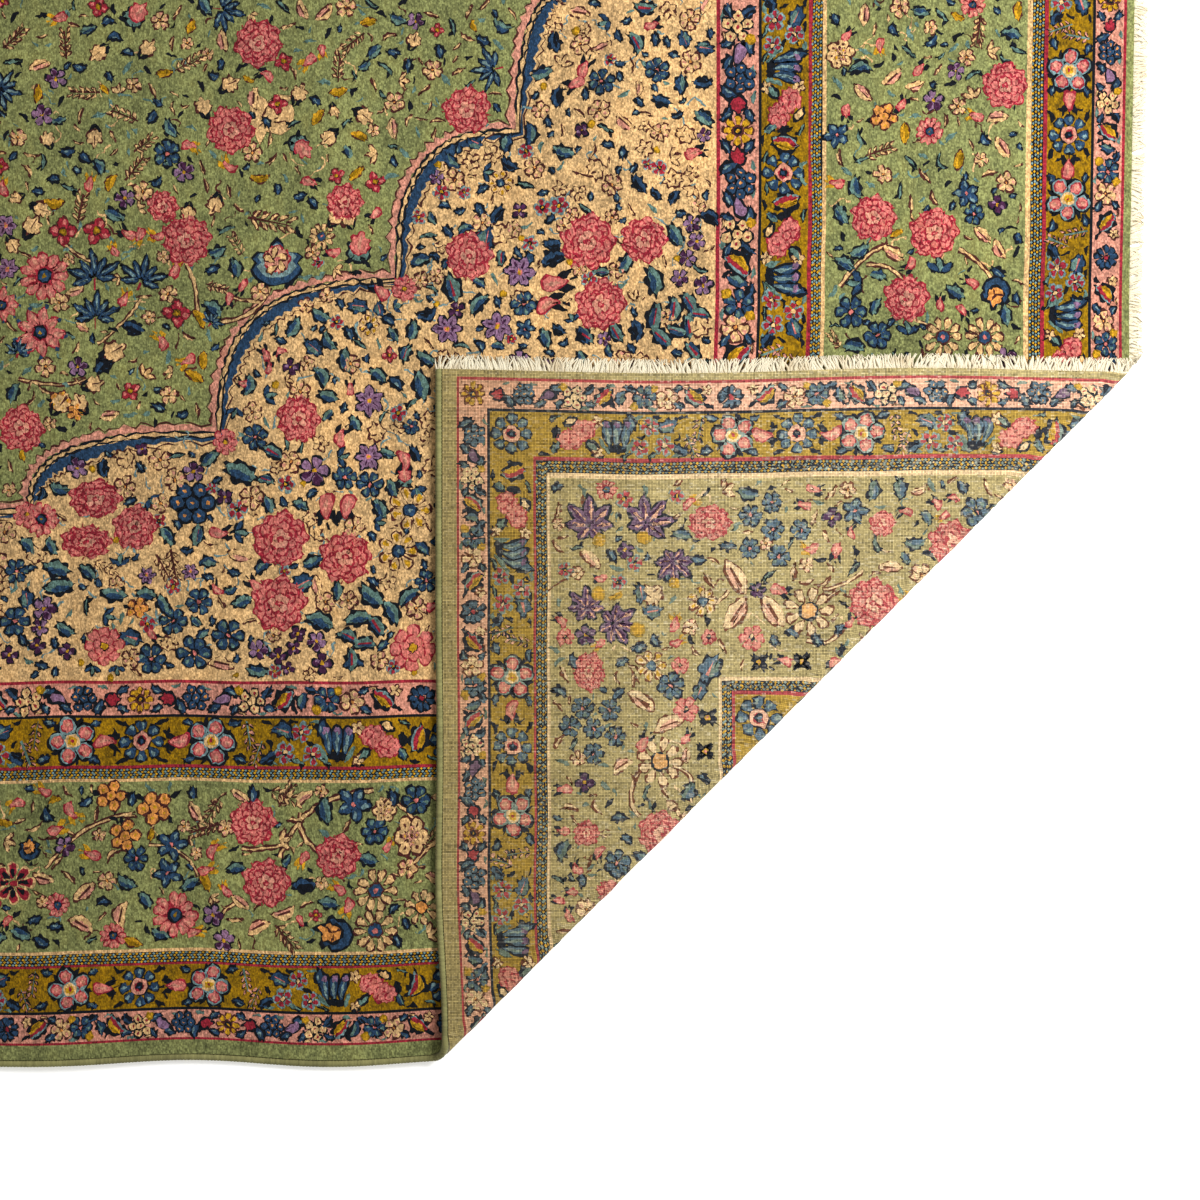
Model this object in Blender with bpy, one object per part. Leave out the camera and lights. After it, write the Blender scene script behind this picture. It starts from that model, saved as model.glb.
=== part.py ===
"""Hand-knotted Persian rug, about 2.75 m by 3.66 m with its fringes, with one corner turned back.

The rug lies face up on the floor z = 0. +X runs along it, towards the end whose corner is turned
back, and +Z is up. The origin is on the floor, under the rug's centre. Every piece is first made
flat, in the plane of the unfolded rug, and is then laid: its edges wander a little, the corner is
rolled over along a diagonal, and a few low ripples lift both layers together. Sizes are in metres.
"""

import math

import bmesh
import bpy
from mathutils import Matrix, Vector

# Driving dimensions
WOVEN_LENGTH = 3.62  # between the two fringes
WIDTH = 2.75  # over the two overcast side cords
THICKNESS = 0.009  # foundation and pile
SEAM_GAP = 0.0005  # between touching pieces
CORD_SIDES = 8

FRINGE_LENGTH = 0.019
FRINGE_ROOT = 0.005  # unbroken strip along the woven end, from which the tufts grow
FRINGE_THICKNESS = 0.003  # the fringe is the foundation's warp, so it lies at the back
TUFT_PITCH = 0.046
TUFT_WIDTH = 0.034

# The fold: the corner at +X, -Y is turned back over a line that crosses the corner at 45 degrees
FOLD_TO_CORNER = 0.662  # from the start of the roll to the corner, square to the fold
ROLL_RADIUS = 0.010  # of the middle of the thickness
OVERTURN = math.radians(8.0)  # how far past level the roll turns, so that the corner comes down
LEVELLING_RADIUS = 0.30  # of the long, slow curve that brings the corner level again
CORNER_CLEARANCE = 0.002  # between the two pile faces where the corner lies
ROLL_STEPS = 22
LEVELLING_STEPS = 3

# Where an edge wanders inwards: along X the long near side, along Y the end beside the corner
EDGE_WAVES = (
    # edge, middle of the wandering stretch, its reach, one wave's length, depth
    ("near side", 0.78, 0.42, 0.39, 0.011),
    ("end", -0.75, 0.50, 0.82, 0.012),
)

# Low, soft ripples in the laid rug, which lift whatever lies there
RIPPLES = (
    # x, y, heading of the crest in degrees, half width, half length, height
    (0.50, -1.20, 78.0, 0.120, 0.30, 0.0055),
    (0.88, -1.22, 98.0, 0.115, 0.26, 0.0050),
    (0.69, -0.70, 84.0, 0.130, 0.34, 0.0040),
    (1.12, -0.62, 60.0, 0.140, 0.26, 0.0045),
)

# Spacing of the cuts that let a flat piece follow the shape above
NEAR_SPACING = 0.065  # in the quarter with the turned corner
FAR_SPACING = 0.45
NEAR_QUARTER_X = 0.10
NEAR_QUARTER_Y = -0.25

COLOURS = {
    # piece: base colour, roughness
    "rug_body": ((0.58, 0.49, 0.32), 0.92),
    "side_cord_near": ((0.36, 0.38, 0.18), 0.90),
    "side_cord_far": ((0.36, 0.38, 0.18), 0.90),
    "fringe_near_corner": ((0.74, 0.68, 0.54), 0.95),
    "fringe_far_end": ((0.74, 0.68, 0.54), 0.95),
}

HALF_LENGTH = WOVEN_LENGTH / 2
HALF_WIDTH = WIDTH / 2
HALF_THICKNESS = THICKNESS / 2
BODY_HALF_WIDTH = HALF_WIDTH - THICKNESS - SEAM_GAP  # each side cord is as thick as the rug
CORNER = Vector((HALF_LENGTH + FRINGE_LENGTH, -HALF_WIDTH, 0))
OUTWARD = Vector((1, -1, 0)).normalized()  # square to the fold, towards the corner
FOLD_START = CORNER - FOLD_TO_CORNER * OUTWARD


def roll_section():
    """Return the fold's section as rows of length along the rug and angle turned."""
    turned = math.pi + OVERTURN
    top = ROLL_RADIUS * (1 - math.cos(turned))
    level = THICKNESS + CORNER_CLEARANCE
    levelling_drop = LEVELLING_RADIUS * (1 - math.cos(OVERTURN))
    straight = (top - level - levelling_drop) / math.sin(OVERTURN)
    return (
        (ROLL_RADIUS * turned, turned),
        (straight, 0.0),
        (LEVELLING_RADIUS * OVERTURN, -OVERTURN),
    )


SECTION = roll_section()


def along_section(run):
    """Return how far out, how high and at what angle the rug is, run past the fold's start."""
    out, height, angle = 0.0, 0.0, 0.0
    if run <= 0:
        return run, height, angle
    for length, turn in SECTION:
        step = min(run, length)
        end_angle = angle + turn * step / length
        if turn:
            radius = length / turn
            out += radius * (math.sin(end_angle) - math.sin(angle))
            height += radius * (math.cos(angle) - math.cos(end_angle))
        else:
            out += step * math.cos(angle)
            height += step * math.sin(angle)
        angle = end_angle
        run -= step
        if run <= 0:
            return out, height, angle
    return out + run * math.cos(angle), height + run * math.sin(angle), angle


def inward_wave(place, middle, reach, wavelength, depth):
    """Return how far an edge has wandered inwards at a place along it."""
    fade = math.exp(-(((place - middle) / reach) ** 2))
    return depth * fade * (1 - math.cos(math.tau * (place - middle) / wavelength)) / 2


def wander(x, y):
    """Shift a point of the flat rug with the edge waves, which fade out towards the middle."""
    _, *side = EDGE_WAVES[0]
    _, *end = EDGE_WAVES[1]
    side_share = max(0.0, -y / HALF_WIDTH) ** 2
    end_share = max(0.0, x / HALF_LENGTH) ** 4
    return x - end_share * inward_wave(y, *end), y + side_share * inward_wave(x, *side)


def ripple_height(x, y):
    """Return how far the ripples lift the rug at a place on the floor."""
    total = 0.0
    for crest_x, crest_y, heading, half_width, half_length, height in RIPPLES:
        heading = math.radians(heading)
        dx, dy = x - crest_x, y - crest_y
        along = dx * math.cos(heading) + dy * math.sin(heading)
        across = dy * math.cos(heading) - dx * math.sin(heading)
        total += height * math.exp(-((across / half_width) ** 2) - (along / half_length) ** 2)
    return total


def rolled(point):
    """Return where a point of the flat rug comes to lie; its z is its height in the thickness."""
    run = (point - FOLD_START).dot(OUTWARD)
    out, height, angle = along_section(run)
    out -= point.z * math.sin(angle)
    height += point.z * math.cos(angle)
    place = point + (out - run) * OUTWARD
    place.z = HALF_THICKNESS + height + ripple_height(place.x, place.y)
    return place


def grid_planes():
    """Return a point and a normal for each plane, square to X or Y, that a flat piece is cut by."""
    planes = []
    for axis, half, quarter in ((0, HALF_LENGTH, NEAR_QUARTER_X), (1, HALF_WIDTH, NEAR_QUARTER_Y)):
        near_end = half if axis == 0 else -half
        for start, end, spacing in (
            (quarter, near_end, NEAR_SPACING),
            (quarter, -near_end, FAR_SPACING),
        ):
            count = math.ceil(abs(end - start) / spacing)
            for index in range(count):
                point, normal = Vector(), Vector()
                point[axis] = start + (end - start) * index / count
                normal[axis] = 1
                planes.append((point, normal))
    return planes


def fold_planes():
    """Return a point and a normal for each plane, along the fold, that a flat piece is cut by."""
    runs = [0.0]
    for (length, _), steps in zip(SECTION, (ROLL_STEPS, 1, LEVELLING_STEPS)):
        start = runs[-1]
        runs += [start + length * (index + 1) / steps for index in range(steps)]
    return [(FOLD_START + run * OUTWARD, OUTWARD) for run in runs]


def cut(bm, planes):
    """Cut every face of a piece that one of the planes crosses."""
    for point, normal in planes:
        bmesh.ops.bisect_plane(
            bm,
            geom=bm.verts[:] + bm.edges[:] + bm.faces[:],
            dist=1e-6,
            plane_co=point,
            plane_no=normal,
        )


def lay_piece(name, bm):
    """Lay a flat piece in the rug's shape, cut finely enough to follow it, and add it."""
    cut(bm, grid_planes())
    for vert in bm.verts:
        vert.co.x, vert.co.y = wander(vert.co.x, vert.co.y)
    cut(bm, fold_planes())
    for vert in bm.verts:
        vert.co = rolled(vert.co)
    bmesh.ops.triangulate(bm, faces=bm.faces[:], quad_method="SHORT_EDGE")
    mesh = bpy.data.meshes.new(name)
    bm.to_mesh(mesh)
    bm.free()
    mesh.shade_smooth()
    mesh.set_sharp_from_angle(angle=math.radians(40))
    mesh.materials.append(wool_material(name))
    piece = bpy.data.objects.new(name, mesh)
    bpy.context.scene.collection.objects.link(piece)


def wool_material(name):
    """Return a plain yarn material for one piece."""
    colour, roughness = COLOURS[name]
    material = bpy.data.materials.new(name)
    material.use_nodes = True
    shader = material.node_tree.nodes["Principled BSDF"]
    shader.inputs["Base Color"].default_value = (*colour, 1)
    shader.inputs["Roughness"].default_value = roughness
    shader.inputs["Metallic"].default_value = 0.0
    return material


def box(x_range, y_range, z_range):
    """Return a bmesh holding one box between three pairs of bounds."""
    low, high = (Vector(ends) for ends in zip(x_range, y_range, z_range))
    bm = bmesh.new()
    placing = Matrix.Translation((low + high) / 2) @ Matrix.Diagonal((*(high - low), 1))
    bmesh.ops.create_cube(bm, size=1, matrix=placing)
    return bm


def make_body():
    """Make the woven sheet, without its side cords and fringes."""
    bm = box(
        (-HALF_LENGTH, HALF_LENGTH),
        (-BODY_HALF_WIDTH, BODY_HALF_WIDTH),
        (-HALF_THICKNESS, HALF_THICKNESS),
    )
    lay_piece("rug_body", bm)


def make_side_cord(name, side):
    """Make the overcast cord along one long side, eight-sided with a flat below."""
    bm = bmesh.new()
    half_step = math.pi / CORD_SIDES
    turn = Matrix.Rotation(math.pi / 2, 4, "Y") @ Matrix.Rotation(half_step, 4, "Z")
    bmesh.ops.create_cone(
        bm,
        cap_ends=True,
        segments=CORD_SIDES,
        radius1=HALF_THICKNESS / math.cos(half_step),
        radius2=HALF_THICKNESS / math.cos(half_step),
        depth=WOVEN_LENGTH,
        matrix=Matrix.Translation((0, side * (HALF_WIDTH - HALF_THICKNESS), 0)) @ turn,
    )
    lay_piece(name, bm)


def make_fringe(name, end):
    """Make one end's fringe: a comb whose tufts grow from a strip along the woven end."""
    root_from = HALF_LENGTH + SEAM_GAP
    root_to = HALF_LENGTH + FRINGE_ROOT
    bm = box(
        sorted((end * root_from, end * root_to)),
        (-HALF_WIDTH, HALF_WIDTH),
        (-HALF_THICKNESS, FRINGE_THICKNESS - HALF_THICKNESS),
    )
    count = math.floor(WIDTH / TUFT_PITCH)
    first = -TUFT_PITCH * (count - 1) / 2
    for edge in (-TUFT_WIDTH / 2, TUFT_WIDTH / 2):
        tuft_edges = (Vector((0, first + index * TUFT_PITCH + edge, 0)) for index in range(count))
        cut(bm, [(place, Vector((0, 1, 0))) for place in tuft_edges])
    tufts = []
    for face in bm.faces:
        from_first = face.calc_center_median().y - first
        from_tuft = abs(from_first - TUFT_PITCH * round(from_first / TUFT_PITCH))
        if face.normal.x * end > 0.5 and from_tuft < TUFT_WIDTH / 2:
            tufts.append(face)
    for face in bmesh.ops.extrude_discrete_faces(bm, faces=tufts)["faces"]:
        bmesh.ops.translate(bm, verts=face.verts, vec=(end * (FRINGE_LENGTH - FRINGE_ROOT), 0, 0))
    lay_piece(name, bm)


def main():
    """Clear the scene and make the rug."""
    for leftover in list(bpy.data.objects):
        bpy.data.objects.remove(leftover, do_unlink=True)
    make_body()
    make_side_cord("side_cord_near", -1)
    make_side_cord("side_cord_far", 1)
    make_fringe("fringe_near_corner", 1)
    make_fringe("fringe_far_end", -1)


main()
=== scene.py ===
import math
from functools import lru_cache

import bmesh
import bpy
import numpy as np
from bpy.props import FloatProperty, FloatVectorProperty, PointerProperty
from mathutils import Matrix, Vector


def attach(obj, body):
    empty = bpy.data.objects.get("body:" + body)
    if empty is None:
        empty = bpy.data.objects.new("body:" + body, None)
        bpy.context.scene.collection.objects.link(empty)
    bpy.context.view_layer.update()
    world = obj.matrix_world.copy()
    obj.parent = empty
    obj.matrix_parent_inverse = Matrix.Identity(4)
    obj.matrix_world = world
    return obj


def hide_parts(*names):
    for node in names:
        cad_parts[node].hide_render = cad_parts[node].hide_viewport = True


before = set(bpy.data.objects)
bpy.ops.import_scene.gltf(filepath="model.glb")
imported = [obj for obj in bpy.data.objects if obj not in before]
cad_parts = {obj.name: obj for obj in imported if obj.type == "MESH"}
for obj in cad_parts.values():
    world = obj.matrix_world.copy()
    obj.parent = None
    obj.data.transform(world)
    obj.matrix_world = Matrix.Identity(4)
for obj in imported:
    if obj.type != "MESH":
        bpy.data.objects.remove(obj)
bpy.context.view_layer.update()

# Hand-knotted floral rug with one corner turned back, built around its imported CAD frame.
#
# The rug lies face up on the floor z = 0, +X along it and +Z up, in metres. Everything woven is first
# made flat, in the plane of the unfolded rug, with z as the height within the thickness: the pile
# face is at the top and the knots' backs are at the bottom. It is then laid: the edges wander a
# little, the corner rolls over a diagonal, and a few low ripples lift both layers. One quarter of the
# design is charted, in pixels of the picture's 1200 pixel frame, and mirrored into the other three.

bl_info = {
    "name": "Hand-knotted floral rug",
    "version": (1, 0, 0),
    "blender": (4, 5, 0),
    "location": "View3D > Sidebar > Rug",
    "description": "Builds a floral rug with a turned-back corner, its side cords and its fringes",
    "category": "Add Mesh",
}

# ---- Shape of the laid rug, the same as in the CAD -------------------------------------------

WOVEN_LENGTH = 3.62  # between the two fringes
WIDTH = 2.75  # over the two side cords
THICKNESS = 0.009
SEAM_GAP = 0.0005
FRINGE_LENGTH = 0.019
FOLD_TO_CORNER = 0.662  # from the start of the roll to the corner, square to the fold
ROLL_RADIUS = 0.010
OVERTURN = math.radians(8.0)
LEVELLING_RADIUS = 0.30
CORNER_CLEARANCE = 0.002
ROLL_STEPS = 22
LEVELLING_STEPS = 3
# middle of the wandering stretch, its reach, one wave's length, depth
SIDE_WAVE = (0.78, 0.42, 0.39, 0.011)
END_WAVE = (-0.75, 0.50, 0.82, 0.012)
# powers with which the waves die out away from the side and from the end
SIDE_WAVE_FADE = 2
END_WAVE_FADE = 4
# drift of hand-woven lines: height, waves across the line's own axis and along it, start
DRIFT_X = ((0.0012, 19.0, 0.0, 1.3), (0.0007, 43.0, 5.0, 0.0))
DRIFT_Y = ((0.0012, 17.0, 0.0, 0.4), (0.0007, 41.0, 4.0, 0.0))
DRIFT_FADE = 12  # the higher, the nearer to the rug's edge the drift dies out
RIPPLES = (
    # x, y, heading of the crest in degrees, half width, half length, height
    (0.50, -1.20, 78.0, 0.120, 0.30, 0.0055),
    (0.88, -1.22, 98.0, 0.115, 0.26, 0.0050),
    (0.69, -0.70, 84.0, 0.130, 0.34, 0.0040),
    (1.12, -0.62, 60.0, 0.140, 0.26, 0.0045),
)
NEAR_QUARTER_X = 0.10  # the fine cuts, which let the rug ripple, start here
NEAR_QUARTER_Y = -0.25
NEAR_SPACING = 0.030
FAR_SPACING = 0.45
CUT_FROM_EDGE = 0.004  # no cut of the spacings comes nearer to the edge
CUT_FROM_CUT = 0.006  # or to another cut

HALF_LENGTH = WOVEN_LENGTH / 2
HALF_WIDTH = WIDTH / 2
HALF_THICKNESS = THICKNESS / 2
BODY_HALF_WIDTH = HALF_WIDTH - THICKNESS - SEAM_GAP
OUTWARD = np.array((1.0, -1.0)) / math.sqrt(2)
FOLD_START = np.array((HALF_LENGTH + FRINGE_LENGTH, -HALF_WIDTH)) - FOLD_TO_CORNER * OUTWARD

# ---- The design's chart ------------------------------------------------------------------------

PIXEL = 0.00128  # one pixel of the picture, on the rug
PICTURE_LEFT = 280.0  # pixels from the rug's middle to the picture's left side
PICTURE_TOP = 7.0  # and to its top
# on the turned corner a place's x and its y on the flat rug add up to this, as do its y and flat x
FLAP_SUM = 1503.0
QUARTER_END = HALF_LENGTH / PIXEL - PICTURE_LEFT
QUARTER_SIDE = HALF_WIDTH / PIXEL - PICTURE_TOP
KNOT = 0.0021
DESIGN_SEED = 11

# Bands from the edge inwards, to where the field begins: yarn, width in mm along the near side,
# width along the end. The guards of small diamonds have a navy ground.
BANDS = (
    ("green", 28.0, 9.5),
    ("crimson", 3.0, 3.8),
    ("pink", 36.0, 36.2),
    ("navy", 3.6, 3.8),
    ("mustard", 55.4, 56.8),
    ("crimson", 3.0, 5.0),
    ("guard", 14.0, 15.5),
    ("cream", 4.0, 6.5),
    ("green", 216.0, 257.0),
    ("cream", 4.0, 5.0),
    ("guard", 13.0, 13.0),
    ("crimson", 4.0, 5.0),
    ("mustard", 61.0, 60.0),
    ("navy", 3.6, 3.8),
    ("pink", 40.4, 49.2),
    ("crimson", 4.0, 4.9),
    ("cream", 0.0, 0.0),
)
MAIN_BORDER = 8  # its place among the bands
BAND_YARNS = ["navy" if row[0] == "guard" else row[0] for row in BANDS]
SIDE_LINES = np.cumsum([row[1] for row in BANDS]) / 1000
END_LINES = np.cumsum([row[2] for row in BANDS]) / 1000

# Cusps of the scalloped green field, from the rug's short axis round to its long one (x, y)
FIELD_CUSPS = ((-280, 578), (-170, 549), (27, 509), (218, 432), (395, 280), (517, 129), (566, -7))
CUSP_POWER = 0.72  # below 1 makes each scallop fuller than an ellipse

# Heights over the woven face in mm
GROUND_RISE = 0.10
MOTIF_RISE = 0.45
RISE_STEP = 0.10
# Rise of the green field and of the lines along its edge, in steps
FIELD_LEVEL = -2.0
EDGING_LEVEL = -1.0

# ---- Yarns -------------------------------------------------------------------------------------

# yarn: colour of the pile, colour of the knots' backs (0 to 255 a channel), what it is for
YARNS = {
    "green": ((125, 129, 79), (166, 150, 102), "field and main border"),
    "cream": ((206, 168, 116), (216, 186, 140), "spandrels and pale petals"),
    "mustard": ((138, 104, 4), (162, 132, 58), "mustard bands"),
    "pink": ((196, 134, 114), (214, 164, 134), "pink guards and light petals"),
    "rose": ((194, 108, 100), (204, 134, 116), "roses"),
    "crimson": ((142, 34, 48), (164, 72, 72), "rose outlines and fine lines"),
    "navy": ((12, 16, 24), (44, 46, 52), "dark outlines"),
    "blue": ((36, 62, 90), (88, 106, 116), "blue petals and leaves"),
    "teal": ((88, 116, 108), (108, 122, 108), "pale leaves"),
    "sky": ((108, 134, 136), (130, 144, 132), "light scrolls"),
    "brown": ((70, 32, 28), (106, 66, 48), "brown outlines and stems"),
    "gold": ((184, 138, 26), (190, 148, 58), "eyes and buds"),
    "orange": ((204, 136, 68), (210, 158, 98), "orange petals"),
    "purple": ((128, 96, 124), (116, 92, 110), "lilac petals"),
    "plum": ((62, 28, 58), (80, 54, 78), "dark petals"),
}


def wool_colour(channels):
    """Return a colour given as 0 to 255 a channel as the linear colour that Blender takes."""
    share = np.array(channels) / 255
    linear = np.where(share <= 0.04045, share / 12.92, ((share + 0.055) / 1.055) ** 2.4)
    return tuple(float(v) for v in linear)


def colour_property(name, description, channels):
    """Return the property of a colour that is given as 0 to 255 a channel."""
    return FloatVectorProperty(
        name=name,
        description=description,
        subtype="COLOR",
        size=3,
        min=0.0,
        max=1.0,
        default=wool_colour(channels),
    )


def length_property(name, description, default, least):
    """Return the property of a small length."""
    return FloatProperty(
        name=name,
        description=description,
        default=default,
        min=least,
        subtype="DISTANCE",
        unit="LENGTH",
    )


def yarn_property(yarn, side):
    """Return the property of one yarn's colour on the pile or on the back."""
    front, back, use = YARNS[yarn]
    description = f"{yarn.title()} wool for the {use}, on the {side}"
    return colour_property(f"{yarn.title()} {side}", description, front if side == "pile" else back)


class RugPileYarns(bpy.types.PropertyGroup):
    """Colours of the wool on the pile face."""

    __annotations__ = {yarn: yarn_property(yarn, "pile") for yarn in YARNS}


class RugBackYarns(bpy.types.PropertyGroup):
    """Colours of the wool seen from the back, where the cotton shows between the knots."""

    __annotations__ = {yarn: yarn_property(yarn, "back") for yarn in YARNS}


class RugSizes(bpy.types.PropertyGroup):
    """Sizes that a weaver would change without changing the rug's outline."""

    wrap_pitch: length_property(
        "Cord wraps", "Spacing of the wool wraps along a side cord", default=0.0042, least=0.002
    )
    strand_pitch: length_property(
        "Fringe strands", "Spacing of the fringe's strands along the end", default=0.0014, least=0.001
    )
    strand_width: length_property(
        "Strand width", "Thickness of one fringe strand", default=0.0040, least=0.0005
    )
    cotton: colour_property(
        "Cotton", "Undyed cotton of the warps, wefts and fringes", (226, 216, 190)
    )
    floor: colour_property("Floor", "Plain studio floor", (250, 250, 249))


# ---- Laying ------------------------------------------------------------------------------------


def roll_section():
    """Return the fold's section as rows of length along the rug and angle turned."""
    turned = math.pi + OVERTURN
    top = ROLL_RADIUS * (1 - math.cos(turned))
    level = THICKNESS + CORNER_CLEARANCE
    levelling_drop = LEVELLING_RADIUS * (1 - math.cos(OVERTURN))
    straight = (top - level - levelling_drop) / math.sin(OVERTURN)
    return (
        (ROLL_RADIUS * turned, turned),
        (straight, 0.0),
        (LEVELLING_RADIUS * OVERTURN, -OVERTURN),
    )


SECTION = roll_section()


def fold_cuts():
    """Return the runs, past the fold's start, at which the rug is cut so that it can roll."""
    (roll, _), (straight, _), (levelling, _) = SECTION
    cuts = [roll * step / ROLL_STEPS for step in range(ROLL_STEPS + 1)]
    cuts += [roll + straight + levelling * step / LEVELLING_STEPS for step in range(LEVELLING_STEPS + 1)]
    return cuts


FOLD_CUTS = fold_cuts()


def inward_wave(place, middle, reach, wavelength, depth):
    """Return how far an edge bends inwards at places along it."""
    fade = np.exp(-(((place - middle) / reach) ** 2))
    return depth * fade * (1 - np.cos(math.tau * (place - middle) / wavelength)) / 2


def drift(across, along, waves):
    """Return how far a hand-woven line strays at places, as the sum of its waves."""
    return sum(height * np.sin(a * across + b * along + start) for height, a, b, start in waves)


def room_inside(place, half):
    """Return 1 in the rug's middle and 0 at its edge, along one axis."""
    return 1 - np.clip(abs(place) / half, 0, 1) ** DRIFT_FADE


def wander(places):
    """Shift flat places with the edges' slow waves and the small drift of a hand-woven line."""
    x, y = places[:, 0].copy(), places[:, 1].copy()
    inside = room_inside(x, HALF_LENGTH) * room_inside(y, HALF_WIDTH)
    side_share = np.maximum(0, -y / HALF_WIDTH) ** SIDE_WAVE_FADE
    end_share = np.maximum(0, x / HALF_LENGTH) ** END_WAVE_FADE
    moved = places.copy()
    moved[:, 0] += inside * drift(y, x, DRIFT_X) - end_share * inward_wave(y, *END_WAVE)
    moved[:, 1] += inside * drift(x, y, DRIFT_Y) + side_share * inward_wave(x, *SIDE_WAVE)
    return moved


def run_past_fold(places):
    """Return how far each flat place lies past the fold's start, square to the fold."""
    return (places[:, :2] - FOLD_START) @ OUTWARD


def along_section(run):
    """Return how far out, how high and at what angle the rug is, run past the fold's start."""
    out = np.minimum(run, 0.0)
    height = np.zeros_like(run)
    angle = np.zeros_like(run)
    left = np.maximum(run, 0.0)
    for length, turn in SECTION:
        step = np.minimum(left, length)
        if turn:
            radius = length / turn
            end_angle = angle + turn * step / length
            out = out + radius * (np.sin(end_angle) - np.sin(angle))
            height = height + radius * (np.cos(angle) - np.cos(end_angle))
            angle = end_angle
        else:
            out = out + step * np.cos(angle)
            height = height + step * np.sin(angle)
        left = left - step
    return out + left * np.cos(angle), height + left * np.sin(angle), angle


def ripple_height(x, y):
    """Return how far the ripples lift the rug at places on the floor."""
    total = np.zeros_like(x)
    for crest_x, crest_y, heading, half_width, half_length, height in RIPPLES:
        heading = math.radians(heading)
        dx, dy = x - crest_x, y - crest_y
        along = dx * math.cos(heading) + dy * math.sin(heading)
        across = dy * math.cos(heading) - dx * math.sin(heading)
        total += height * np.exp(-((across / half_width) ** 2) - (along / half_length) ** 2)
    return total


def laid(places):
    """Return where points of the wandered flat rug come to lie; z is height in the thickness."""
    run = run_past_fold(places)
    out, height, angle = along_section(run)
    out = out - places[:, 2] * np.sin(angle)
    height = height + places[:, 2] * np.cos(angle)
    put = places.copy()
    put[:, :2] += np.outer(out - run, OUTWARD)
    put[:, 2] = HALF_THICKNESS + height + ripple_height(put[:, 0], put[:, 1])
    return put


# ---- Joined patches ------------------------------------------------------------------------------

NO_AREA = 1e-12


def arrays_of(bm):
    """Return a bmesh's vertex places and triangles as arrays."""
    bmesh.ops.triangulate(bm, faces=bm.faces[:])
    bm.verts.index_update()
    places = np.array([v.co[:] for v in bm.verts], dtype=float).reshape(-1, 3)
    corners = np.array([[v.index for v in f.verts] for f in bm.faces], dtype=int).reshape(-1, 3)
    return places, corners


def joined(parts):
    """Join (places, corners) arrays into one pair of arrays."""
    start = 0
    all_places, all_corners = [], []
    for places, corners in parts:
        all_places.append(places)
        all_corners.append(corners + start)
        start += len(places)
    if not all_places:
        return np.zeros((0, 3)), np.zeros((0, 3), dtype=int)
    return np.concatenate(all_places), np.concatenate(all_corners)


def kept(places, corners, keep):
    """Return only the triangles that keep marks, with the vertices they use."""
    corners = corners[keep]
    used, renumbered = np.unique(corners, return_inverse=True)
    return places[used], renumbered.reshape(-1, 3)


def welded(places, corners):
    """Merge vertices that share a place, and drop the triangles that this closes up."""
    rounded = np.round(places, 6)
    _, first, merged = np.unique(rounded, axis=0, return_index=True, return_inverse=True)
    corners = merged.reshape(-1)[corners]
    whole = (corners != np.roll(corners, -1, axis=1)).all(axis=1)
    return places[first], corners[whole]


def repeated(corners, size, count):
    """Return the triangles of several shapes of one size, whose vertices follow on each other."""
    return (corners[None] + size * np.arange(count)[:, None, None]).reshape(-1, 3)


def facing(places, corners, upwards):
    """Turn over the flat triangles that face the wrong way, and drop the ones with no area."""
    a, b, c = (places[corners[:, i], :2] for i in range(3))
    area = (b[:, 0] - a[:, 0]) * (c[:, 1] - a[:, 1]) - (b[:, 1] - a[:, 1]) * (c[:, 0] - a[:, 0])
    wrong = (area < 0) if upwards else (area > 0)
    corners = corners.copy()
    corners[wrong] = corners[wrong][:, ::-1]
    return places, corners[abs(area) > NO_AREA]


def cut_for_fold(places, corners):
    """Cut triangles that cross the roll along the fold's planes, so that they can bend."""
    run = run_past_fold(places)[corners]
    bends = (run.max(axis=1) > 0) & (run.min(axis=1) < FOLD_CUTS[-1])
    if not bends.any():
        return places, corners
    flat_places, flat_corners = kept(places, corners, ~bends)
    near_places, near_corners = kept(places, corners, bends)
    bm = bmesh.new()
    verts = [bm.verts.new(place) for place in near_places]
    for triangle in near_corners:
        try:
            bm.faces.new([verts[i] for i in triangle])
        except ValueError:
            continue  # the same triangle twice
    for cut in FOLD_CUTS:
        middle = FOLD_START + cut * OUTWARD
        bmesh.ops.bisect_plane(
            bm,
            geom=bm.verts[:] + bm.edges[:] + bm.faces[:],
            dist=1e-7,
            plane_co=(middle[0], middle[1], 0),
            plane_no=(OUTWARD[0], OUTWARD[1], 0),
        )
    cut_places, cut_corners = arrays_of(bm)
    bm.free()
    return joined([(flat_places, flat_corners), (cut_places, cut_corners)])


def rug_object(name, places, corners, material, window, smooth=True):
    """Lay flat arrays and make the object, with its flat places as an attribute and as UVs."""
    put = laid(places)
    mesh = bpy.data.meshes.new(name)
    mesh.from_pydata(put.tolist(), [], corners.tolist())
    flat = mesh.attributes.new("flat_place", "FLOAT_VECTOR", "POINT")
    flat.data.foreach_set("vector", places.astype(np.float32).ravel())
    low_x, high_x, low_y, high_y = window
    at = places[corners.ravel(), :2]
    uvs = (at - (low_x, low_y)) / (high_x - low_x, high_y - low_y)
    layer = mesh.uv_layers.new(name="OFBake")
    layer.data.foreach_set("uv", np.clip(uvs, 0.001, 0.999).astype(np.float32).ravel())
    mesh.materials.append(material)
    mesh.polygons.foreach_set("use_smooth", [smooth] * len(mesh.polygons))
    mesh.validate()
    mesh.update()
    made = bpy.data.objects.new(name, mesh)
    bpy.context.scene.collection.objects.link(made)
    return made


# What a piece's UVs span on the flat rug: from x, to x, from y, to y
WHOLE_WINDOW = (-1.84, 1.84, -1.40, 1.40)
FLAP_WINDOW = (0.84, 1.86, -1.40, -0.40)

# ---- Stamps: small flat shapes, one unit in radius, each reshaped from a circle --------------------


def shape_disc(c, s):
    return c, s


def shape_leaf(c, s):
    return c, s * (0.30 + 0.70 * abs(s))


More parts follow.
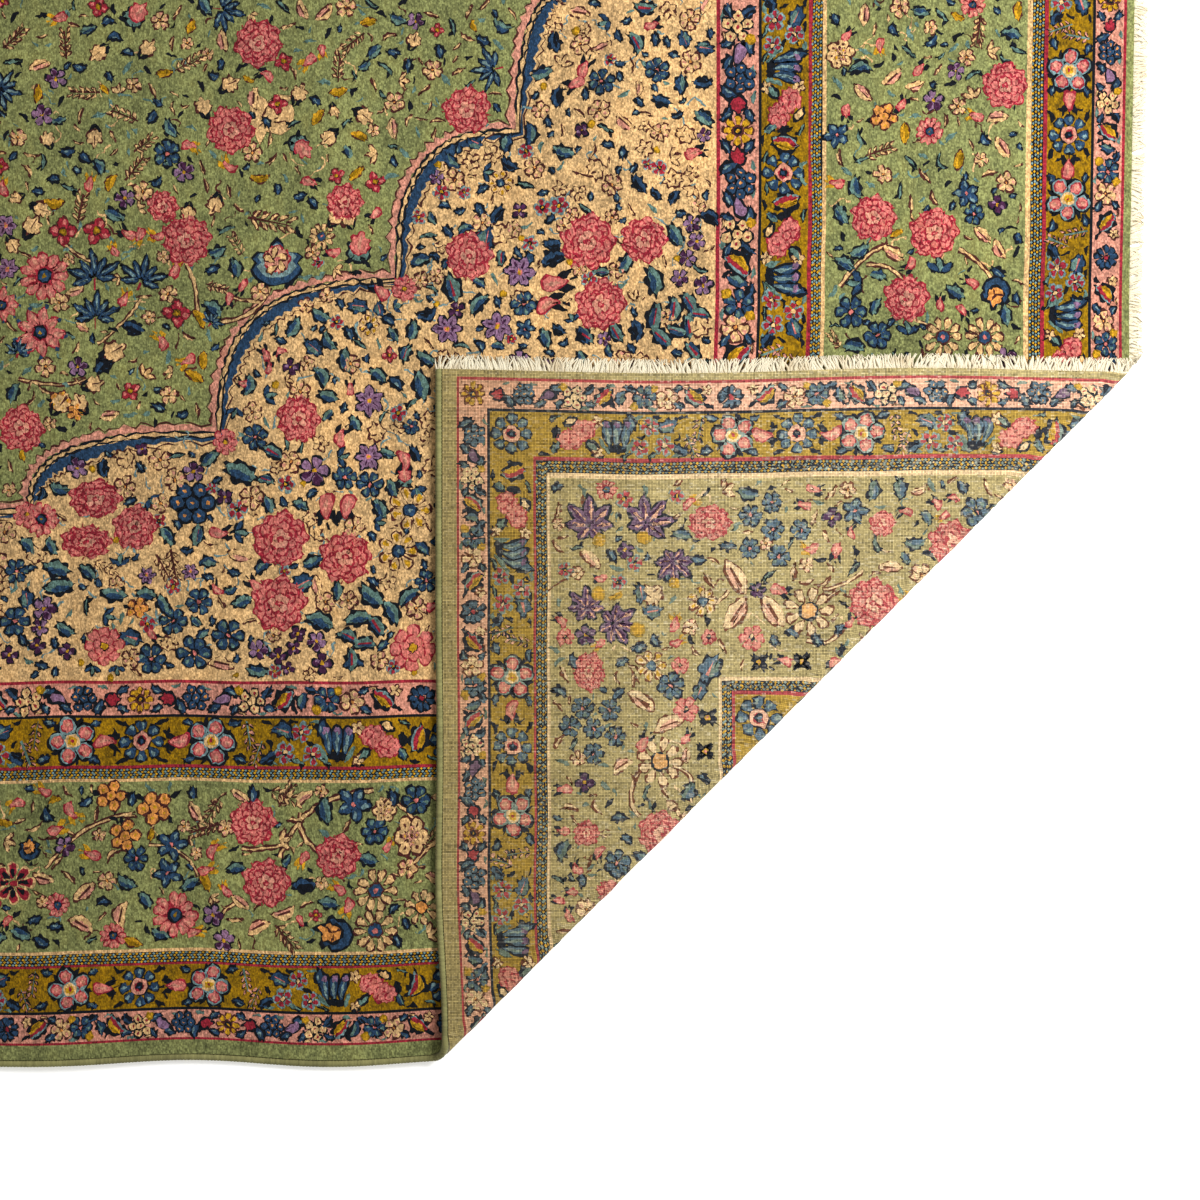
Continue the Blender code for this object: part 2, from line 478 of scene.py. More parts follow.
def shape_petal(c, s):
    return c, s * (0.62 + 0.38 * c) / 0.72


def shape_bloom(c, s):
    angle = math.atan2(s, c)
    reach = 0.89 + 0.07 * math.cos(9 * angle) + 0.04 * math.cos(5 * angle + 1.0)
    return c * reach, s * reach


def shape_star(c, s):
    reach = 0.72 + 0.28 * math.cos(6 * math.atan2(s, c))
    return c * reach, s * reach


def shape_tooth(c, s):
    reach = 0.90 + 0.14 * math.cos(7 * math.atan2(s, c) + 0.6)
    return c * reach, s * (0.45 + 0.55 * abs(s)) * reach


def shape_cup(c, s):
    reach = 1.0 if c < 0 else 0.78 + 0.22 * math.cos(5 * math.atan2(s, c))
    return c * reach, s * reach


def shape_bar(c, s):
    return (1 if c > 0 else -1), (1 if s > 0 else -1)


# stamp: its shape, its fewest and most sides
STAMPS = {
    "disc": (shape_disc, 5, 16),
    "leaf": (shape_leaf, 6, 26),
    "petal": (shape_petal, 6, 16),
    "bloom": (shape_bloom, 14, 60),
    "star": (shape_star, 10, 24),
    "tooth": (shape_tooth, 8, 30),
    "cup": (shape_cup, 8, 24),
    "bar": (shape_bar, 4, 4),
    "diamond": (shape_disc, 4, 4),
}
# Pixels between the points of a patch's edge, how much they waver as a share of WAVER, and the
# smallest patch drawn, in square pixels: for the quarter with the turned corner and for the others
NEAR_EDGE = (1.9, 1.0, 0.3)
FAR_EDGE = (7.0, 0.6, 2.2)
WAVER = (0.55, 0.80)  # pixels along x and along y


@lru_cache(maxsize=None)
def stamp_arrays(stamp, sides):
    """Make one stamp as a capped circle, move its rim into shape and return its arrays."""
    shape = STAMPS[stamp][0]
    bm = bmesh.new()
    bmesh.ops.create_circle(bm, cap_ends=True, cap_tris=sides > 8, segments=sides, radius=1.0)
    if stamp == "bar":
        bmesh.ops.rotate(bm, verts=bm.verts[:], matrix=Matrix.Rotation(math.pi / 4, 3, "Z"))
    for vert in bm.verts:
        if vert.co.length > 0.5:
            vert.co.x, vert.co.y = shape(vert.co.x, vert.co.y)
    places, corners = arrays_of(bm)
    bm.free()
    return places[:, :2], corners


@lru_cache(maxsize=None)
def grid_arrays(columns, rows):
    """Return a grid over the unit square and its triangles."""
    bm = bmesh.new()
    bmesh.ops.create_grid(bm, x_segments=columns, y_segments=rows, size=0.5)
    bmesh.ops.translate(bm, verts=bm.verts[:], vec=(0.5, 0.5, 0.0))
    places, corners = arrays_of(bm)
    bm.free()
    return places[:, :2], corners


# ---- Motifs ----------------------------------------------------------------------------------------
# A motif's rows: stamp, yarn, step up, how many around, x, y, half length, half width, heading in
# degrees, all for a motif of radius 1. Rows with more than one around are turned about the middle.


def direction(degrees):
    """Return the cosine and the sine of an angle."""
    return math.cos(math.radians(degrees)), math.sin(math.radians(degrees))


def layers(stamp, *rows, at=(0, 0), turn=0, step=1):
    """One shape on another: yarn, half length and half width of each, the lowest first."""
    return tuple(
        (stamp, yarn, step + above, 1, *at, long, wide, turn)
        for above, (yarn, long, wide) in enumerate(rows)
    )


def pair(stamp, yarn, step, x, y, long, wide, turn):
    """One shape and its mirror image on the other side of the motif's middle line."""
    return tuple((stamp, yarn, step, 1, x, side * y, long, wide, side * turn) for side in (1, -1))


def petals(count, edge, fill, at, long, wide, rim=0.08, stamp="petal", light=None):
    """Petals around the middle, each with its edge and, if asked for, a light streak."""
    rows = (
        (stamp, edge, 1, count, at, 0, long, wide, 0),
        (stamp, fill, 2, count, at - rim / 3, 0, long - rim, wide - rim, 0),
    )
    if light:
        streak = ((long - rim) * 0.5, (wide - rim) * 0.42)
        rows += ((stamp, light, 3, count, at + 0.06, wide * 0.22, *streak, 0),)
    return rows


def eye(*rings):
    """Rows of (yarn, radius) discs, one on another."""
    return tuple(("disc", yarn, 4 + i, 1, 0, 0, size, size, 0) for i, (yarn, size) in enumerate(rings))


def cells(step, count, at, size, turn=0.0, fill="rose", line=0.042):
    """A ring of petals that cover the ring outside them; each shows its edge on the outer side."""
    c, s = math.cos(turn), math.sin(turn)
    inner = at - line * 0.7
    wide = size * 1.08
    heading = math.degrees(turn)
    return (
        ("disc", "crimson", step, count, at * c, at * s, size, wide, heading),
        ("disc", fill, step + 1, count, inner * c, inner * s, size - line, wide - line, heading),
    )


def rose(fill):
    """A full rose from above: rings of petals, one inside another, with fine dark lines."""
    return (
        (("bloom", "crimson", 1, 1, 0, 0, 1, 1, 0), ("bloom", fill, 2, 1, 0, 0, 0.945, 0.945, 0))
        + (("bar", "crimson", 3, 11, 0.84, 0, 0.1, 0.018, 12),)
        + (("bar", "crimson", 3, 7, 0.8, 0.1, 0.07, 0.016, -50),)
        + cells(3, 9, 0.6, 0.22, 0.1, fill)
        + (("bar", "crimson", 5, 9, 0.64, 0.1, 0.08, 0.018, 35),)
        + cells(5, 7, 0.42, 0.19, 0.5, fill)
        + (("bar", "crimson", 7, 6, 0.44, 0.06, 0.07, 0.018, -30),)
        + cells(7, 5, 0.22, 0.17, 0.9, "pink")
        + (("disc", "crimson", 9, 1, 0, 0, 0.13, 0.1, 0), ("disc", fill, 10, 1, 0.02, 0.02, 0.07, 0.05, 0))
    )


def leaf(edge, fill, half, vein=None, outline=("tooth", 1.02, 0.66)):
    """A leaf with one half in another yarn and, if asked for, a vein."""
    stamp, long, wide = outline
    rows = (
        (stamp, edge, 1, 1, 0, 0, long, wide, 0),
        ("leaf", fill, 2, 1, 0, -0.04, 0.84, 0.36, 0),
        ("leaf", half, 3, 1, 0.06, 0.13, 0.62, 0.19, 0),
    )
    return rows + ((("bar", vein, 4, 1, 0, 0, 0.5, 0.06, 0),) if vein else ())


def palmette(edge, fill, light, stalk):
    """Seven long leaves spread from one foot."""
    rows = (("bar", stalk, 1, 1, -0.8, 0, 0.24, 0.05, 0),)
    leaves = ((-98, 0.8), (-62, 1.04), (-30, 0.86), (2, 1.12), (34, 0.84), (66, 1.04), (100, 0.76))
    for heading, reach in leaves:
        c, s = direction(heading)
        x, y = -0.5 + reach * c * 0.66, reach * s * 0.72
        rows += (
            ("leaf", edge, 1, 1, x, y, 0.62 * reach, 0.21, heading),
            ("leaf", fill, 2, 1, x, y, 0.52 * reach, 0.13, heading),
            ("leaf", light, 3, 1, x, y, 0.34 * reach, 0.045, heading),
        )
    return rows


def triple(edge, fill, half):
    """Three leaves from one foot."""
    rows = ()
    for heading in (-55, 0, 55):
        c, s = direction(heading)
        rows += (
            ("leaf", edge, 1, 1, 0.5 * c - 0.2, 0.5 * s, 0.55, 0.27, heading),
            ("leaf", half if heading else fill, 2, 1, 0.5 * c - 0.2, 0.5 * s, 0.44, 0.17, heading),
        )
    return rows


def bud(fill, light, sepal):
    """A closed bud between two sepals, on a short stalk."""
    return (
        ("leaf", sepal, 1, 1, -0.35, 0.33, 0.55, 0.22, -22),
        ("leaf", sepal, 1, 1, -0.35, -0.33, 0.55, 0.22, 22),
        ("petal", "crimson", 2, 1, 0.2, 0, 0.78, 0.48, 0),
        ("petal", fill, 3, 1, 0.2, 0, 0.66, 0.37, 0),
        ("leaf", light, 4, 1, 0.25, 0, 0.4, 0.12, 0),
        ("bar", sepal, 1, 1, -0.85, 0, 0.2, 0.07, 0),
    )


def frond(edge, fill, pairs, spine=None):
    """A stalk with leaves in pairs."""
    rows = (("bar", spine or edge, 1, 1, 0, 0, 0.92, 0.05, 0),)
    for pair in range(pairs + 1):
        x = -0.72 + 1.5 * pair / pairs
        for side in (-1, 1):
            heading = side * (48 - 18 * pair / pairs)
            rows += (
                ("leaf", edge, 1, 1, x + 0.16, side * 0.22, 0.27, 0.12, heading),
                ("leaf", fill, 2, 1, x + 0.16, side * 0.22, 0.19, 0.055, heading),
            )
    return rows


def florets(edge, fill, heart, count, at, size):
    """Round florets around one in the middle."""
    return (
        ("disc", edge, 1, count, at, 0, size, size, 0),
        ("disc", fill, 2, count, at, 0, size * 0.74, size * 0.74, 0),
        ("disc", heart, 3, count, at, 0, size * 0.24, size * 0.24, 0),
        ("disc", edge, 1, 1, 0, 0, size, size, 0),
        ("disc", fill, 2, 1, 0, 0, size * 0.74, size * 0.74, 0),
        ("disc", heart, 3, 1, 0, 0, size * 0.24, size * 0.24, 0),
    )


def lily(edge, fill):
    """A flower seen from the side: five long petals spread one way and two turned back."""
    rows = ()
    leaves = ((-86, 0.8), (-44, 1.0), (0, 1.06), (44, 1.0), (86, 0.8), (140, 0.6), (-140, 0.6))
    for heading, reach in leaves:
        c, s = direction(heading)
        x, y = -0.2 + 0.52 * reach * c, 0.52 * reach * s
        rows += (
            ("leaf", edge, 1, 1, x, y, 0.56 * reach, 0.25, heading),
            ("leaf", fill, 2, 1, x, y, 0.48 * reach, 0.18, heading),
            ("leaf", "plum", 3, 1, x, y - 0.04, 0.36 * reach, 0.045, heading),
            ("leaf", "pink", 3, 1, x, y + 0.05, 0.32 * reach, 0.04, heading),
        )
    return rows


DOUBLE_ROSE_PETALS = (
    (-0.5, -0.4), (-0.15, -0.35), (-0.4, -0.05), (0.1, 0.1), (0.45, 0.05), (0.5, 0.4), (0.15, 0.42),
)
MOTIFS = {
    "rose": rose("rose"),
    "deep rose": rose("rose") + (("leaf", "crimson", 9, 5, 0.55, 0, 0.25, 0.05, 60),),
    "eyed rose": petals(8, "crimson", "rose", 0.62, 0.38, 0.3, 0.05)
    + cells(3, 6, 0.38, 0.22, 0.4)
    + eye(("brown", 0.24), ("gold", 0.17)),
    "daisy": (("disc", "crimson", 1, 1, 0, 0, 0.72, 0.72, 0),)
    + petals(11, "crimson", "rose", 0.64, 0.38, 0.22, 0.04, light="pink")
    + eye(("crimson", 0.38), ("navy", 0.33), ("blue", 0.24), ("mustard", 0.09)),
    "blue-tipped daisy": (("disc", "crimson", 1, 1, 0, 0, 0.6, 0.6, 0),)
    + petals(9, "crimson", "rose", 0.58, 0.4, 0.22, 0.04, "leaf", light="pink")
    + (("disc", "blue", 2, 9, 0.96, 0.1, 0.09, 0.08, 0),)
    + eye(("crimson", 0.32), ("navy", 0.27), ("blue", 0.2), ("gold", 0.08)),
    "cream daisy": petals(10, "brown", "cream", 0.68, 0.34, 0.21, 0.06)
    + eye(("brown", 0.36), ("blue", 0.3), ("rose", 0.11)),
    "sun daisy": petals(9, "brown", "cream", 0.68, 0.34, 0.22, 0.06)
    + eye(("navy", 0.4), ("orange", 0.32)),
    "gold daisy": petals(7, "brown", "cream", 0.62, 0.38, 0.28, 0.06)
    + (("petal", "gold", 3, 7, 0.68, 0, 0.2, 0.13, 0),)
    + eye(("navy", 0.34), ("blue", 0.27), ("sky", 0.1)),
    "ornate pink": petals(7, "crimson", "rose", 0.66, 0.36, 0.31, 0.05)
    + eye(("brown", 0.42), ("orange", 0.34))
    + (("leaf", "brown", 6, 3, 0, 0.1, 0.26, 0.05, 20),),
    "blue flower": petals(6, "navy", "blue", 0.56, 0.44, 0.37, 0.09, light="teal")
    + eye(("navy", 0.22), ("rose", 0.13)),
    "blue star": petals(5, "navy", "blue", 0.52, 0.5, 0.34, 0.09, "leaf", light="sky")
    + eye(("rose", 0.12)),
    "blue cluster": florets("navy", "blue", "orange", 6, 0.62, 0.36),
    "cream cluster": florets("navy", "cream", "crimson", 5, 0.6, 0.38),
    "orange cluster": florets("brown", "orange", "gold", 5, 0.58, 0.38)
    + (("leaf", "navy", 1, 2, 0.95, 0.1, 0.3, 0.14, 20),),
    "purple star": petals(6, "navy", "purple", 0.54, 0.5, 0.34, 0.08, "leaf")
    + (("disc", "purple", 3, 1, 0, 0, 0.34, 0.34, 0), ("leaf", "plum", 3, 6, 0.4, 0, 0.24, 0.05, 0))
    + eye(("rose", 0.18), ("gold", 0.12)),
    "pansy": petals(5, "navy", "purple", 0.5, 0.48, 0.38, 0.1)
    + (
        ("petal", "plum", 3, 1, 0.5, 0.05, 0.36, 0.27, 0),
        ("petal", "plum", 3, 1, 0.1, 0.5, 0.32, 0.22, 75),
    )
    + eye(("gold", 0.14)),
    "plum flower": petals(4, "navy", "plum", 0.46, 0.5, 0.42, 0.11)
    + (("disc", "purple", 3, 2, 0.36, 0.2, 0.2, 0.16, 0),)
    + eye(("gold", 0.16)),
    "lily": lily("navy", "purple"),
    "red floret": petals(5, "sky", "crimson", 0.56, 0.46, 0.4, 0.11)
    + eye(("navy", 0.3), ("gold", 0.17)),
    "white-eyed floret": petals(5, "sky", "crimson", 0.56, 0.46, 0.38, 0.13)
    + eye(("navy", 0.28), ("cream", 0.2)),
    "rose floret": petals(6, "crimson", "rose", 0.56, 0.44, 0.36, 0.08)
    + eye(("navy", 0.24), ("cream", 0.13)),
    "red star": petals(4, "brown", "crimson", 0.52, 0.5, 0.44, 0.07, "leaf", light="rose")
    + eye(("brown", 0.3), ("mustard", 0.24), ("gold", 0.12)),
    "brown flower": petals(5, "brown", "cream", 0.52, 0.48, 0.42, 0.11, light="pink")
    + eye(("brown", 0.2), ("orange", 0.11)),
    "brown star": petals(5, "brown", "cream", 0.52, 0.5, 0.38, 0.11, "leaf") + eye(("brown", 0.16)),
    "pale bloom": layers("tooth", ("brown", 1, 0.9), ("cream", 0.84, 0.74))
    + (("leaf", "brown", 3, 3, 0.34, 0, 0.26, 0.045, 35),),
    "mottled": florets("brown", "cream", "brown", 6, 0.6, 0.4)
    + florets("brown", "pink", "gold", 4, 0.3, 0.24),
    "bell": layers("cup", ("brown", 0.75, 0.66), ("cream", 0.64, 0.54), at=(0.15, 0))
    + (("bar", "brown", 3, 1, 0.25, 0, 0.34, 0.04, 0),)
    + pair("leaf", "navy", 3, -0.62, 0.2, 0.38, 0.14, 30),
    "bud": bud("rose", "pink", "navy"),
    "pink bud": bud("pink", "cream", "teal"),
    "gold bud": bud("rose", "pink", "gold"),
    "tulip": layers("cup", ("navy", 0.75, 0.72), ("teal", 0.62, 0.58), at=(-0.15, 0))
    + layers("cup", ("crimson", 0.7, 0.56), ("rose", 0.62, 0.47), at=(0.25, 0), step=3)
    + (("leaf", "pink", 5, 1, 0.3, 0, 0.42, 0.12, 0),)
    + pair("leaf", "navy", 2, -0.7, 0.4, 0.36, 0.13, -50),
    "great tulip": (
        ("leaf", "navy", 1, 1, -0.55, 0.62, 0.42, 0.16, 60),
        ("leaf", "navy", 1, 1, 0.55, 0.62, 0.42, 0.16, 120),
        *layers("cup", ("navy", 0.86, 0.98), ("blue", 0.78, 0.89), at=(0, 0.05), turn=-90),
        ("cup", "sky", 3, 1, 0, 0, 0.62, 0.72, -90),
        ("bloom", "crimson", 4, 1, 0, -0.06, 0.54, 0.56, 0),
        ("bloom", "pink", 5, 1, 0, -0.06, 0.48, 0.5, 0),
        ("petal", "brown", 6, 5, 0.24, -0.12, 0.25, 0.15, 0),
        ("petal", "cream", 7, 5, 0.24, -0.12, 0.19, 0.1, 0),
        ("disc", "rose", 8, 1, 0.02, -0.1, 0.1, 0.09, 0),
    ),
    "cup": (
        ("cup", "navy", 1, 1, 0, 0, 1, 0.9, 0),
        ("cup", "blue", 2, 1, -0.06, 0, 0.84, 0.74, 0),
        ("cup", "navy", 3, 1, 0.12, 0, 0.66, 0.55, 0),
        ("cup", "orange", 4, 1, 0.16, 0, 0.56, 0.44, 0),
        ("leaf", "brown", 5, 3, 0.2, 0.05, 0.24, 0.05, 30),
    ),
    "three bells": tuple(
        row
        for y, heading in ((-0.5, -10), (0, 0), (0.5, 10))
        for row in (
            ("petal", "navy", 1, 1, 0.05, y, 0.9, 0.36, heading),
            ("petal", "blue", 2, 1, 0.05, y, 0.76, 0.24, heading),
            ("leaf", "sky", 3, 1, 0.02, y, 0.56, 0.08, heading),
            ("disc", "purple", 3, 1, 0.62, y * 1.2, 0.2, 0.18, heading),
        )
    )
    + (
        ("leaf", "navy", 2, 1, -0.75, 0, 0.26, 0.62, 0),
        *pair("leaf", "teal", 3, -0.6, 0.7, 0.5, 0.13, 30),
    ),
    "leaf": leaf("navy", "teal", "blue"),
    "blue leaf": leaf("navy", "blue", "teal"),
    "dark leaf": leaf("navy", "blue", "navy"),
    "red-veined leaf": leaf("navy", "teal", "blue", "crimson"),
    "brown leaf": leaf("brown", "cream", "pink", "brown", ("leaf", 0.92, 0.44)),
    "gold leaf": leaf("brown", "gold", "mustard", None, ("leaf", 0.94, 0.44)),
    "striped leaf": (
        ("tooth", "navy", 1, 1, 0, 0, 1.12, 0.9, 0),
        ("leaf", "sky", 2, 1, 0, -0.1, 0.94, 0.44, 0),
        ("leaf", "crimson", 3, 1, 0, -0.05, 0.86, 0.36, 0),
        ("leaf", "gold", 4, 1, 0, 0.14, 0.78, 0.24, 0),
        ("leaf", "mustard", 5, 1, 0.1, 0.22, 0.5, 0.1, 0),
    ),
    "double rose": (
        ("bloom", "crimson", 1, 1, -0.3, -0.25, 0.66, 0.56, 20),
        ("bloom", "crimson", 1, 1, 0.32, 0.22, 0.64, 0.54, 0),
        ("bloom", "rose", 2, 1, -0.3, -0.25, 0.6, 0.5, 20),
        ("bloom", "rose", 2, 1, 0.32, 0.22, 0.58, 0.48, 0),
    )
    + tuple(
        ("disc", yarn, step, 1, x + shift, y, size, size * 0.9, 0)
        for x, y in DOUBLE_ROSE_PETALS
        for yarn, step, shift, size in (("crimson", 3, 0.0, 0.2), ("rose", 4, 0.03, 0.165))
    )
    + (
        ("leaf", "navy", 1, 1, -0.7, 0.5, 0.44, 0.26, -40),
        ("leaf", "teal", 5, 1, -0.68, 0.5, 0.28, 0.12, -40),
        ("leaf", "navy", 1, 1, 0.3, -0.66, 0.4, 0.24, 30),
        ("leaf", "cream", 5, 1, 0.3, -0.66, 0.26, 0.13, 30),
        ("leaf", "navy", 1, 1, 0.95, -0.1, 0.34, 0.2, 80),
    ),
    "toothed leaf": (
        ("tooth", "navy", 1, 1, 0, 0, 1, 0.72, 0),
        ("tooth", "blue", 2, 1, 0, 0, 0.84, 0.56, 0),
        ("tooth", "teal", 3, 1, 0.08, 0.2, 0.56, 0.26, 0),
        ("bar", "rose", 4, 1, 0, 0, 0.46, 0.05, 0),
    ),
    "split leaf": triple("navy", "teal", "blue"),
    "brown split leaf": triple("brown", "cream", "cream"),
    "small leaf": (
        ("tooth", "navy", 1, 1, 0, 0, 1.05, 0.7, 0),
        ("leaf", "blue", 2, 1, 0, 0, 0.74, 0.3, 0),
        ("leaf", "sky", 3, 1, 0.1, 0.12, 0.34, 0.1, 0),
    ),
    "tick": (("leaf", "navy", 1, 1, 0, 0, 1, 0.36, 0),),
    "pale tick": (("leaf", "teal", 1, 1, 0, 0, 1, 0.32, 0),),
    "brown tick": (
        ("leaf", "brown", 1, 1, 0, 0, 1, 0.26, 0),
        ("leaf", "cream", 2, 1, 0, 0.1, 0.7, 0.1, 0),
    ),
    "curl": (
        ("leaf", "navy", 1, 1, 0, 0, 1, 0.3, 10),
        ("leaf", "navy", 1, 1, 0.55, 0.35, 0.5, 0.2, 70),
        ("leaf", "teal", 2, 1, 0, 0, 0.8, 0.12, 10),
    ),
    "frond": frond("brown", "cream", 4),
    "pale frond": frond("brown", "pink", 4),
    "spray": palmette("navy", "blue", "sky", "crimson"),
    "twig": frond("navy", "pink", 3, "teal"),
    "navy cross": (
        ("tooth", "navy", 1, 2, 0.1, 0, 1, 0.36, 45),
        ("tooth", "navy", 1, 2, 0, 0, 1, 0.36, -45),
    )
    + eye(("gold", 0.22), ("rose", 0.1)),
    "rosette": petals(8, "navy", "blue", 0.72, 0.32, 0.3, 0.055, "petal", light="sky")
    + eye(("navy", 0.47), ("pink", 0.43), ("crimson", 0.25), ("navy", 0.21), ("blue", 0.08)),
    "lobed rose": (
        ("disc", "navy", 1, 5, 0.66, 0, 0.46, 0.44, 0),
        ("disc", "sky", 2, 5, 0.64, 0, 0.38, 0.36, 0),
        ("disc", "crimson", 3, 5, 0.65, 0, 0.3, 0.28, 0),
        ("disc", "rose", 4, 5, 0.65, 0, 0.25, 0.23, 0),
        ("disc", "pink", 5, 5, 0.7, 0.03, 0.11, 0.1, 0),
        ("leaf", "navy", 1, 5, 0.62, 0.5, 0.3, 0.12, 60),
    )
    + eye(("sky", 0.38), ("cream", 0.32), ("gold", 0.2), ("crimson", 0.08)),
    "gold rosette": petals(8, "brown", "gold", 0.62, 0.36, 0.26, 0.07)
    + eye(("brown", 0.36), ("navy", 0.24), ("gold", 0.12)),
    "dark rosette": petals(9, "navy", "blue", 0.62, 0.42, 0.3, 0.11)
    + eye(("navy", 0.28), ("crimson", 0.17)),
    "wedge": layers("cup", ("navy", 1, 0.9), ("crimson", 0.74, 0.62)),
    "plum bud": layers("petal", ("navy", 1, 0.66), ("purple", 0.8, 0.46)),
    "ringed dot": layers("disc", ("navy", 1, 1), ("gold", 0.6, 0.6)),
    "gold dot": layers("disc", ("mustard", 1, 1), ("gold", 0.75, 0.75), step=5),
    "great floret": petals(8, "cream", "crimson", 0.58, 0.42, 0.26, 0.06)
    + (("petal", "navy", 3, 8, 0.44, 0, 0.24, 0.11, 0),)
    + eye(("crimson", 0.16)),
}

# ---- Charts ----------------------------------------------------------------------------------------
# motif: rows of picture x, picture y, radius, then turn in degrees and widening where they matter

